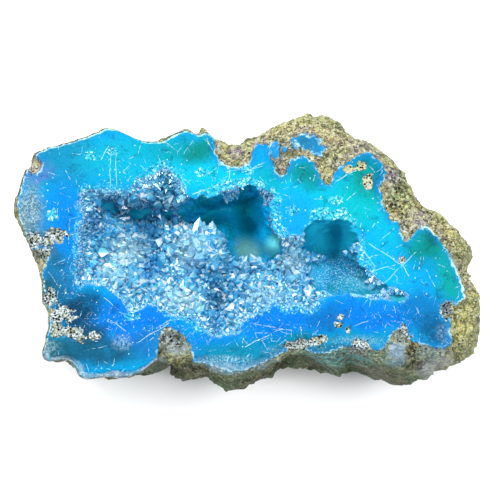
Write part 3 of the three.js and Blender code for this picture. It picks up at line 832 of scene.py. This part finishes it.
# Tones of the cut chalcedony: middle, reach, colour, strength.
agatePatches = [
    (-40.6, 20.3, 14, 9, "#1290b8", 0.9), (-26.7, 20.5, 16, 8, "#04b6d4", 0.9),
    (-13.8, 22.4, 11, 6, "#00a4b0", 0.9), (-9.5, 16.5, 18, 6, "#00c8e8", 0.9),
    (-39.5, 2.7, 8, 20, "#0088e0", 1.0), (-47.4, 8, 5, 12, "#4c7484", 0.9),
    (-25, -14.8, 18, 9, "#007ee8", 1.0), (-41.5, -21, 7, 6, "#146878", 1.0),
    (-32, -21.5, 15, 5, "#145c7c", 0.95), (-36.6, -12.6, 6.5, 7, "#0a4468", 1.0),
    (-42, -5.5, 6, 9, "#185c74", 0.95), (-34, -17.6, 6, 4, "#164c60", 0.9),
    (-38.6, -4, 5, 6, "#1c80b8", 0.7), (-44.5, 1.5, 4, 5, "#486c70", 0.8),
    (-21.4, -19.6, 6, 5, "#1874b8", 0.8), (-6.3, -20.5, 18, 6, "#008cec", 1.0),
    (6.5, -15, 16, 7, "#007ee4", 1.0), (-3, -22, 14, 4.6, "#0a8cac", 0.95),
    (11, -20, 12, 4, "#00829c", 0.9), (26.9, -13, 18, 7, "#007ee0", 1.0),
    (16, -14.6, 6.5, 4, "#086cb8", 0.75), (22.5, -19.4, 12, 4, "#0090b4", 0.9),
    (39.5, -17, 6, 7, "#0a5888", 0.95), (36.5, -12, 7, 6, "#0876b4", 0.7),
    (29, -2, 12, 12, "#00b4f8", 0.95), (38.4, 2, 8, 7, "#008a84", 1.0),
    (38.8, 4.4, 5, 3.6, "#064c50", 0.95), (42.4, -5, 4.4, 10, "#08a498", 0.85),
    (33.6, 4, 7, 6, "#00a2a6", 0.85), (30.5, 6, 7, 8, "#00bee4", 0.8), (22.6, 11.5, 12, 9, "#00c2cc", 0.95),
    (25.4, 17, 7, 8, "#009c96", 0.9), (10.8, 12.6, 13, 9, "#00c0dc", 0.9), (12.3, 18, 6, 5, "#008c86", 0.9),
    (4.4, 16.6, 5, 5, "#00b0c0", 0.8), (9, 8, 7, 8, "#0aa8f0", 0.9), (-11, 22.5, 5, 4, "#00826e", 0.7),
    (-46, 18, 5, 4, "#6a78c8", 0.7), (12.5, 24.5, 6, 3.4, "#006e84", 1.0), (25, 21, 6, 3, "#0080a4", 0.8),
    (28.5, 16, 3, 5, "#0074a0", 0.8),
]

agateLook = {
    "shade": "#c6c9c8", "ground": "#00a4e4", "white": "#d8f2ff", "veil": "#c4dce4",
    "deep": "#0a3c62", "cloud": "#14b4f0",
}

# Fine scratches from coarse to tiny: cell, length against it, width.
scratchSizes = [(5.0, 0.55, 0.04), (2.1, 0.6, 0.028), (1.1, 0.6, 0.028)]

# Long scratches: from, to, breadth.
longScratches = [
    (25.6, 2.1, 32.9, -3, 0.09), (32.9, -3, 34.1, -5.2, 0.09), (35.6, 0.1, 28.8, -6.7, 0.07),
    (25.4, -4.3, 31.2, -2.7, 0.07), (18.7, 15.7, 23, 18.1, 0.12), (-30, 22.5, -30.1, 14.2, 0.07),
    (-28.8, 22.3, -28.6, 13.6, 0.07), (-32, 20.4, -30.4, 23.5, 0.09), (-12.3, 12.8, -4.2, 15.7, 0.12),
    (-4.4, 19.8, -4.3, 15.4, 0.07), (-5, 17.8, 2.7, 19, 0.07), (-24, -19.6, -17, -15.4, 0.09),
    (-29.5, -14.6, -25.4, -17.6, 0.09), (-1, -20.5, 7, -16.5, 0.1), (1, -15.6, 9, -17, 0.07),
    (22.7, 3.4, 26.8, -3.2, 0.08),
]

# Where the face is finely scuffed, and where it is frosted.
scuffPlaces = [
    (-17, -16.5, 14, 5, 1.0), (5, -17.5, 10, 4.5, 1.0), (-31, -15, 8, 5, 0.8),
    (-10.4, 17, 8, 3, 0.8), (-29.5, 19, 5, 6, 0.8), (31, -14, 9, 4, 0.7),
    (-38.6, -7, 4, 6, 1.0), (30, -3, 8, 6, 0.5),
]
frostedFace = [
    (-47.4, 9, 4, 9, 0.6), (-43, -20.6, 4, 2.4, 0.5), (-27, -19.5, 3, 2.4, 0.5), (41.4, -17.6, 2.6, 3, 0.35),
    (23, -19.4, 8, 2, 0.35), (10, -21.4, 9, 2, 0.45), (-6, -23.6, 10, 1.8, 0.6),
]


def longMarks(net, place):
    sway = net.noise(place, 0.3, 2)
    worn = net.remap(net.noise(place, 0.9, 3, 0.7), 0.36, 0.5)
    marks = 0.0
    for fromX, fromY, toX, toY, breadth in longScratches:
        half = math.dist((fromX, fromY), (toX, toY)) / 2
        angle = math.atan2(toY - fromY, toX - fromX)
        middle = ((fromX + toX) / 2, (fromY + toY) / 2, 0)
        inputs = {"Vector": place, "Location": middle, "Rotation": (0, 0, angle)}
        local = net.add("Mapping", inputs, vector_type="TEXTURE")[0]
        parts = net.parts(local)
        bent = net.maths("MULTIPLY_ADD", net.maths("SUBTRACT", sway, 0.5), 0.8, parts[1])
        across = net.remap(net.maths("ABSOLUTE", bent), breadth * 0.8, breadth * 0.3)
        mark = net.times(across, net.maths("LESS_THAN", net.maths("ABSOLUTE", parts[0]), half))
        marks = net.maths("MAXIMUM", marks, mark)
    return net.times(marks, worn)


def buildAgateLook(scratches):
    net, given, made = newGroup("agateLook", {"Place": None}, lookOutputs)
    place = given["Place"]
    sway = net.add("TexNoise", {"Vector": place, "Scale": 0.16, "Detail": 4.0, "Roughness": 0.6})
    offset = net.vector("SUBTRACT", sway[1], (0.5, 0.5, 0.5))
    shifted = net.vector("MULTIPLY_ADD", offset, (6, 6, 0), place)
    colour = net.patchwork(shifted, agateLook["ground"], agatePatches)
    cloudy = net.noise(place, 0.45, 5, 0.6, 0.6)
    colour = net.tint(colour, agateLook["cloud"], cloudy, 0.55, 0.75, 0.35)
    colour = net.tint(colour, agateLook["deep"], cloudy, 0.46, 0.3, 0.4)
    grainy = net.noise(place, 2.6, 3, 0.7)
    colour = net.tint(colour, agateLook["cloud"], grainy, 0.58, 0.72, 0.22)
    colour = net.tint(colour, agateLook["deep"], grainy, 0.44, 0.3, 0.25)
    colour = net.mix(1.0, colour, agateLook["shade"], "MULTIPLY")
    frosted = net.patchShare(place, frostedFace)
    frosted = net.times(frosted, net.remap(net.noise(place, 2.4, 5, 0.8), 0.46, 0.58))
    colour = net.mix(net.times(frosted, 0.6), colour, agateLook["veil"])
    dots = net.cells(place, 0.9)
    chosen = net.chances(dots["Color"])[0]
    speck = net.times(net.remap(dots[0], 0.14, 0.06), net.remap(chosen, 0.62, 0.7))
    colour = net.mix(net.times(speck, 0.75), colour, agateLook["white"])
    lines, many, tiny = (
        net.use(scratches, {"Place": place, "Cell": cell, "Length": length, "Width": width})[0]
        for cell, length, width in scratchSizes
    )
    scuffed = net.patchShare(place, scuffPlaces)
    where = net.remap(net.noise(place, 0.12, 2), 0.46, 0.56)
    marks = net.maths("MAXIMUM", lines, net.times(many, where))
    marks = net.maths("MAXIMUM", marks, net.times(tiny, scuffed))
    broken = net.remap(net.noise(place, 1.4, 3, 0.7), 0.42, 0.55)
    marks = net.maths("MAXIMUM", net.times(marks, broken), longMarks(net, place))
    colour = net.mix(net.times(marks, 0.54), colour, agateLook["white"])
    polish = net.remap(grainy, 0.3, 0.7, 0.2, 0.32)
    net.fill(made, {"Color": colour, "Roughness": polish, "Height": net.times(grainy, 0.04)})
    return net.tree


scratchGroup = buildScratches()
rindGroup = buildRindLook()
agateGroup = buildAgateLook(scratchGroup)

# The bare cave walls are darker teal than the cut face, partly painted shade; the deep tone is painted light
# on their deepest parts.
hollowLook = {
    "cave": "#00667a", "caveLight": "#2a98ac", "caveBlue": "#006c9c", "caveDeepPaintedLight": "#00a0b4",
    "druse": "#7cc8f2", "druseLight": "#e2f6ff", "druseDark": "#3a98cc", "frost": "#c0ecf0",
    "rimDark": "#0c6484", "rimMid": "#4cb0cc",
}
gritLook = {
    "ground": "#5e6c6a", "light": "#bcc8cc", "pit": "#0e100c", "moss": "#7a7c50",
    "shade": "#38443e", "tan": "#b4ac78",
}
skinLook = {
    "line": "#b8dcd8", "dark": "#54664e", "pale": "#6a9cb0", "lilac": "#8494a8",
    "chalk": "#c0d0d4", "teal": "#2c7c90", "blueEdge": "#0c6ca0",
}

# Paler rock among the grit: middle, reach, colour, strength.
gritPatches = [(24, 17.5, 7, 6, gritLook["tan"], 0.6)]

# Masks that the mesh carries, by the names of their sockets.
stoneMasks = {
    "Lining": "lining", "Grit": "grit", "From Rim": "fromRim", "From Edge": "fromEdge",
    "Bare": "bare", "Cave Depth": "caveDepth",
}

# Where the stone's edge is paler, clear chalcedony.
paleEdges = [
    (-42.5, -24, 6, 4, 1.0), (-31, -26, 11, 6, 1.0), (-21, -25, 5, 5, 1.0),
    (-6, -26.4, 11, 4, 0.8), (6, -25, 8, 3, 0.8), (31, -21.5, 4, 4, 1.0),
]

# Small spots of druse open on the face.
druseSpots = [
    (-34.6, 21.4, 2, 1.8, 0.8), (-0.5, 18.1, 2, 1.8, 0.8), (-10.2, 17.6, 2.4, 1.6, 0.8),
    (-42.3, 8.2, 2, 2, 0.9), (18.5, 11.4, 2.6, 1.8, 0.8), (9.3, 9.3, 2, 1.6, 0.8),
    (-25, -14, 3, 1.6, 0.9), (-29.4, 22.4, 1.8, 1.6, 0.7), (33.5, 6.6, 2, 1.4, 0.7),
]

# Where a white line parts chalcedony and rind.
whiteLines = [(44.6, -4, 3, 12, 0.55), (40, 5, 4, 3, 0.7), (-3, 19.4, 6, 3, 0.5)]

# Tones of the bare hollow walls, with painted shadow under the ledge at the upper left and painted light on
# the side hollow's upper wall: middle, reach, colour, strength.
cavePatches = [
    (-0.4, 2.4, 4, 5, "#4a7472", 0.9), (5, 2.4, 2.8, 3, "#4ca8b0", 0.9), (2.8, 9, 4.4, 8, "#0094cc", 0.85),
    (18, 6, 9, 7, "#18a4c4", 0.9), (18.5, -2.8, 9, 6.4, "#085880", 0.9),
    (22.4, -6.4, 6, 3.4, "#1c7490", 0.9), (14.6, -3, 4, 6, "#1c80a8", 0.8),
    (31.6, -9.8, 4, 3, "#208494", 0.9), (-28.4, 11, 7, 4, "#1480a8", 0.9),
    (-20.4, 10, 8, 4, "#107c9c", 0.9),
]

# Where the bare wall keeps a veil of very fine druse.
fineDruse = [(19.5, -4, 9, 7, 1.0)]

# Where the cut druse frosts the face beside the hollow.
frostPlaces = [
    (-3, 14.6, 12, 4, 1.0), (6.4, 8, 4, 8, 0.9), (17.5, 8.6, 9, 5, 1.0),
    (24.6, -2.5, 3.4, 8, 0.8), (-38, 3, 3, 14, 0.5), (-32, 14, 9, 3, 0.5),
    (-14, -15.5, 18, 4, 0.5), (12, -12.5, 14, 3.4, 0.5), (-18, 17, 8, 7, 0.9),
]


# Druse that the cut went through, at the rim and in small spots: its share and its colour.
def cutDruse(net, given, around):
    place = given["Place"]
    frostHere = net.patchShare(place, frostPlaces)
    fromRim = around(given["From Rim"], 3.0)
    sparkle = net.noise(place, 2.8, 4, 0.75)
    reach = net.maths("MULTIPLY_ADD", frostHere, -2.6, -0.2)
    band = net.remap(net.maths("SUBTRACT", fromRim, reach), 0.0, 0.5)
    band = net.times(band, net.maths("MULTIPLY_ADD", frostHere, 0.75, 0.25))
    chip = net.chances(net.cells(place, 2.9)["Color"])[0]
    frost = net.mix(net.remap(chip, 0.3, 0.55), hollowLook["rimDark"], hollowLook["rimMid"])
    frost = net.tint(frost, hollowLook["frost"], chip, 0.84, 0.92)
    spots = around(net.patchShare(place, druseSpots), 2.0)
    band = net.maths("MAXIMUM", band, net.remap(spots, 0.35, 0.5))
    band = net.times(band, net.remap(sparkle, 0.44, 0.5))
    return net.times(band, 0.9), frost, sparkle


# The hollow under its crystals, and the bare walls where none grow.
def hollowTones(net, given, sparkle, patchy):
    place = given["Place"]
    floor = net.mix(net.remap(patchy, 0.4, 0.6), hollowLook["druseDark"], hollowLook["druse"])
    floor = net.tint(floor, hollowLook["druseLight"], net.noise(place, 3.5, 3), 0.54, 0.62)
    soft = net.noise(place, 0.35, 4, 0.6)
    # bare walls in darker teal, partly painted shade in the hollow
    cave = net.mix(net.remap(soft, 0.4, 0.62), hollowLook["cave"], hollowLook["caveBlue"])
    cave = net.patchwork(place, cave, cavePatches)
    cave = net.tint(cave, hollowLook["caveLight"], patchy, 0.5, 0.7, 0.5)
    veil = net.patchShare(place, fineDruse)
    for key, low, high in (("frost", 0.54, 0.64), ("rimDark", 0.46, 0.38)):
        cave = net.mix(net.times(veil, net.remap(sparkle, low, high, 0, 0.5)), cave, hollowLook[key])
    # painted light: the deepest parts of the bare walls are lightened
    cave = net.tint(cave, hollowLook["caveDeepPaintedLight"], given["Cave Depth"], 7, 17)
    return net.mix(given["Bare"], floor, cave), soft


# Porous rock closed into the chalcedony: its colour, with pits painted near black as shade, and its pits.
def gritTones(net, place, shapes):
    gritty = net.noise(place, 2.2, 4, 0.75)
    ridges = net.maths("ABSOLUTE", net.maths("SUBTRACT", net.noise(place, 1.5, 4, 0.65), 0.5))
    colour = net.mix(net.remap(ridges, 0.07, 0.02), gritLook["ground"], gritLook["light"])
    for key, value, low, high, most in (
            ("moss", shapes, 0.5, 0.6, 0.6), ("light", gritty, 0.55, 0.62, 0.8),
            ("shade", gritty, 0.5, 0.43, 0.8)):
        colour = net.tint(colour, gritLook[key], value, low, high, most)
    colour = net.patchwork(place, colour, gritPatches)
    pits = net.cells(place, 1.2)[0]
    pit = net.maths("MAXIMUM", net.remap(pits, 0.34, 0.24), net.remap(gritty, 0.42, 0.36))
    return net.mix(pit, colour, gritLook["pit"]), pit


# The colour, roughness and height of the whole stone, from where each growth lies.
def buildWholeStone():
    inputs = {"Place": None} | dict.fromkeys(stoneMasks, 0.0)
    net, given, made = newGroup("wholeStone", inputs, lookOutputs)
    place = given["Place"]
    agate = net.use(agateGroup, {"Place": place})
    rock = net.use(rindGroup, {"Place": place, "Lining": given["Lining"]})
    ragged = net.maths("SUBTRACT", net.noise(place, 0.8, 6, 0.72), 0.5)

    def around(value, amount):
        return net.maths("ADD", value, net.times(ragged, amount))

    # blue edge and white line of the chalcedony beside the rind
    lining = around(given["Lining"], 3.0)
    isAgate = net.remap(lining, -0.06, 0.06)
    edgeBlue = net.times(net.remap(lining, 1.8, 0.3), 0.6)
    colour = net.mix(edgeBlue, agate["Color"], skinLook["blueEdge"])
    line = net.times(net.remap(lining, 0.5, 0.1), net.remap(net.noise(place, 0.6, 3), 0.45, 0.6))
    white = net.times(net.remap(lining, 0.7, 0.2), net.patchShare(place, whiteLines))
    line = net.maths("MULTIPLY_ADD", line, 0.65, white, clamp=True)
    colour = net.mix(line, colour, skinLook["line"])

    rimShare, frost, sparkle = cutDruse(net, given, around)
    colour = net.mix(rimShare, colour, frost)
    inHollow = net.remap(around(given["From Rim"], 1.0), -0.1, 0.15)
    patchy = net.noise(place, 1.3, 4, 0.7)
    floor, soft = hollowTones(net, given, sparkle, patchy)
    colour = net.mix(inHollow, colour, floor)

    # thin skin round the edge
    fromEdge = around(given["From Edge"], 1.3)
    inSkin = net.remap(fromEdge, 0.5, 0.3)
    bright = net.times(net.remap(fromEdge, 0.95, 0.5), net.remap(patchy, 0.46, 0.56))
    colour = net.mix(net.times(bright, 0.75), colour, skinLook["line"])
    skin = net.mix(net.remap(patchy, 0.44, 0.58), skinLook["dark"], rock["Color"])
    colour = net.mix(inSkin, colour, skin)
    colour = net.mix(isAgate, rock["Color"], colour)

    # paler, frosted chalcedony along the lower edge
    pale = net.mix(net.remap(soft, 0.46, 0.58), skinLook["pale"], skinLook["lilac"])
    pale = net.tint(pale, skinLook["chalk"], patchy, 0.48, 0.6, 0.7)
    pale = net.tint(pale, skinLook["teal"], patchy, 0.44, 0.36, 0.7)
    paleEdge = around(given["From Edge"], 2.6)
    nearEdge = net.times(net.remap(paleEdge, 1.9, 1.3), net.remap(paleEdge, -3.4, -2.4))
    paleShare = net.times(nearEdge, net.patchShare(place, paleEdges))
    colour = net.mix(net.times(paleShare, 0.8), colour, pale)

    # porous rock inside the chalcedony
    shapes = net.noise(place, 0.5, 2)
    loose = net.maths("SUBTRACT", shapes, 0.5)
    gritReach = net.maths("MULTIPLY_ADD", loose, 2.2, around(given["Grit"], 2.2))
    isGrit = net.remap(gritReach, -0.02, 0.06)
    gritColour, pit = gritTones(net, place, shapes)
    colour = net.mix(isGrit, colour, gritColour)

    smooth = net.blend(isGrit, agate["Roughness"], 0.7)
    solid = net.times(isAgate, net.maths("SUBTRACT", 1.0, inSkin))
    rough = net.blend(solid, rock["Roughness"], smooth)
    gritDrop = net.times(isGrit, net.maths("MULTIPLY_ADD", pit, 0.6, 0.3))
    agateHeight = net.maths("SUBTRACT", agate["Height"], gritDrop)
    floorHeight = net.times(inHollow, patchy)
    floorHeight = net.times(floorHeight, net.maths("MULTIPLY_ADD", given["Bare"], -0.85, 1.0))
    agateHeight = net.maths("MULTIPLY_ADD", floorHeight, 0.8, agateHeight)
    height = net.blend(solid, rock["Height"], agateHeight)
    net.fill(made, {"Color": colour, "Roughness": rough, "Height": height})
    return net.tree


wholeStone = buildWholeStone()


def newMaterial(name):
    material = bpy.data.materials.new(name)
    material.use_nodes = True
    tree = material.node_tree
    return material, NodeNet(tree), tree.nodes["Principled BSDF"]


bumpDistance = 0.6 * millimetre


def stoneMaterial(name, fixed):
    material, net, shader = newMaterial(name)
    inputs = {"Place": net.stonePlace()}
    for key, mask in stoneMasks.items():
        inputs[key] = net.attribute(mask)
    looks = net.use(wholeStone, inputs)
    bump = net.add("Bump", {"Height": looks["Height"], "Distance": bumpDistance, "Strength": 1.0})
    linked = {"Base Color": looks["Color"], "Roughness": looks["Roughness"], "Normal": bump[0]}
    net.fill(shader, linked | fixed)
    return material


# Finish of the two thick pieces, the same all over them.
chalcedonyShine = {
    "Subsurface Weight": 0.15, "Subsurface Radius": (0.3, 0.8, 1.0), "Subsurface Scale": 0.0015,
    "Specular IOR Level": 0.08, "IOR": 1.54,
}
rindShine = {"Specular IOR Level": 0.25}
chalcedony.data.materials.append(stoneMaterial("coatedChalcedony", chalcedonyShine))
rind.data.materials.append(stoneMaterial("rindRock", rindShine))


# Mostly painted shade on the druse, in the trough under the ledge, under the upper rim, in the valleys and
# beside the cave's walls; duller stretches elsewhere.
drusePatches = [
    (-30, 11.2, 5, 3.2, "#1480ac", 0.8), (-23.6, 9.8, 7, 3.6, "#10749c", 0.85),
    (-17.4, 9.6, 6, 3, "#1480a4", 0.8), (-12, 10.6, 5, 2.6, "#1484a8", 0.75),
    (-21.4, 5.8, 3.6, 3.4, "#2c8cb4", 0.8), (-21.4, -2.4, 3.4, 5, "#4cacdc", 0.8),
    (-7.2, -13.5, 3.4, 5, "#50b4dc", 0.7), (-7.6, -7, 2.6, 5, "#54b4d8", 0.7),
    (-3.8, -3, 2.6, 6, "#54b4d8", 0.6), (-18.5, 15, 5.5, 5, "#44a4bc", 0.9),
    (-37, 3, 2.6, 12, "#3aa0d0", 0.5), (-33, 6.5, 4, 4, "#4c9cc4", 0.7),
    (17.5, -2.5, 5, 4.5, "#45b8d4", 0.75), (5, 8, 2.6, 8, "#0c7ca4", 0.9),
    (-3, 12.2, 10, 2, "#2a9cb8", 0.5), (13.6, 4, 3, 6, "#3ab0d4", 0.7), (-11, -2, 7, 5, "#80d0f8", 0.3),
    (28, -9, 6, 2.5, "#50b4d8", 0.5), (0.5, -2.6, 3.4, 2.4, "#3c9cc0", 0.7),
    (-4.2, 2.4, 3, 3.4, "#2c90b8", 0.8), (13, -4, 3, 4, "#50b0d8", 0.6),
]

# Brighter stretches of the druse.
brightDruse = [
    (-26, 2, 6, 4.5, "#d8faff", 0.5), (-13, 1, 5.5, 6, "#c8f4ff", 0.5), (9, -1.6, 4, 4.5, "#c8f4ff", 0.5),
    (-14.5, -10, 6, 4, "#d8faff", 0.5), (-29.5, -4, 5, 4, "#c8f4ff", 0.4), (3, -9, 6, 3, "#c8f4ff", 0.4),
]

quartzLook = {
    "ramp": [(0.2, "#3cbcf4"), (0.42, "#74dcfc"), (0.74, "#b4f4ff")],
    "darkest": "#0c8cd4", "brightest": "#f6ffff", "cloud": "#5cc4f0", "vein": "#1c84c0",
    "inside": "#a8e8ff", "insideDensity": 60.0,
}
quartzShine = {
    "Roughness": 0.14, "IOR": 1.55, "Transmission Weight": 0.5,
    "Coat Weight": 0.25, "Coat IOR": 1.8, "Coat Roughness": 0.16,
}


def quartzMaterial():
    material, net, shader = newMaterial("coatedQuartz")
    place = net.stonePlace()
    tone = net.attribute("facetToneGlintShade")
    # the ramp's white top is the painted glint; its darker end is partly the painted shade of tips turned
    # from the light
    tones = net.add("ValToRGB", {0: tone})[0]
    stops = tones.node.color_ramp.elements
    stops[0].color = linear(quartzLook["darkest"])
    stops[1].color = linear(quartzLook["brightest"])
    for position, hexColour in quartzLook["ramp"]:
        stops.new(position).color = linear(hexColour)
    # painted shade, and duller tones, multiplied over the crystal colours
    dim = net.patchwork(place, "#ffffff", drusePatches)
    colour = net.mix(1.0, tones, dim, "MULTIPLY")
    colour = net.tint(colour, quartzLook["cloud"], net.noise(place, 0.2, 2), 0.4, 0.6, 0.2)
    colour = net.patchwork(place, colour, brightDruse)
    colour = net.tint(colour, quartzLook["vein"], net.noise(place, 2.4, 3, 0.7), 0.5, 0.36, 0.55)
    net.fill(shader, {"Base Color": colour} | quartzShine)
    inside = {"Color": quartzLook["inside"], "Density": quartzLook["insideDensity"]}
    absorb = net.add("VolumeAbsorption", inside)
    net.fill(net.tree.nodes["Material Output"], {"Volume": absorb[0]})
    return material


quartz.data.materials.append(quartzMaterial())

for piece, node, slotName in ((chalcedony, "chalcedony", "coated_chalcedony"), (rind, "rind", "rind_rock"),
                              (quartz, "crystal_crust", "coated_quartz")):
    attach(piece, "root")
    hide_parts(node)
print("pieces placed")


# Studio

studio = {
    "floorSize": 3.0,
    "floorTones": ("#f4f5f6", "#fafafa"),
    "floorShine": {"Roughness": 0.8, "Specular IOR Level": 0.1},
    "worldColour": (0.93, 0.96, 1.0, 1),
    "world": 0.72,
    "lights": [
        # name, place, size, power
        ("keyLight", (-0.25, 0.95, 0.95), 0.8, 25.0),
        ("topLight", (0.75, -0.15, 1.25), 0.6, 13.0),
        ("leftLight", (-1.1, -0.2, 0.8), 0.3, 5.6),
    ],
    "aim": (0.0, 0.0, 0.03),
}


def buildStudio():
    mesh = bpy.data.meshes.new("studioFloor")
    half = studio["floorSize"] / 2
    corners = [(-half, -half, 0), (half, -half, 0), (half, half, 0), (-half, half, 0)]
    mesh.from_pydata(corners, [], [(0, 1, 2, 3)])
    floor = intoScene("studioFloor", mesh)
    material, net, shader = newMaterial("paleFloor")
    tone = net.mix(net.noise(net.stonePlace(), 0.02, 2), *studio["floorTones"])
    net.fill(shader, {"Base Color": tone} | studio["floorShine"])
    mesh.materials.append(material)
    for name, place, size, power in studio["lights"]:
        lamp = bpy.data.lights.new(name, "AREA")
        lamp.shape = "DISK"
        lamp.size = size
        lamp.energy = power
        holder = intoScene(name, lamp)
        holder.location = place
        aim = Vector(studio["aim"]) - Vector(place)
        holder.rotation_euler = aim.to_track_quat("-Z", "Y").to_euler()
    world = bpy.data.worlds.new("softRoom")
    world.use_nodes = True
    background = world.node_tree.nodes["Background"]
    background.inputs[0].default_value = studio["worldColour"]
    background.inputs[1].default_value = studio["world"]
    bpy.context.scene.world = world
    bpy.context.scene.view_settings.view_transform = "Standard"


view = {
    "distance": 0.48, "elevation": 78.0, "widthAtFace": 0.1075, "aim": (0.00052, -0.00202, 0.034),
    "sensor": 36.0,
}


def buildCamera():
    camera = bpy.data.cameras.new("mainCamera")
    camera.sensor_width = view["sensor"]
    camera.lens = view["sensor"] * view["distance"] / view["widthAtFace"]
    holder = intoScene("mainCamera", camera)
    tilt = math.radians(view["elevation"])
    back = Vector((0, -math.cos(tilt), math.sin(tilt)))
    holder.location = Vector(view["aim"]) + back * view["distance"]
    holder.rotation_euler = (-back).to_track_quat("-Z", "Y").to_euler()
    bpy.context.scene.camera = holder


buildStudio()
buildCamera()
print("studio ready")
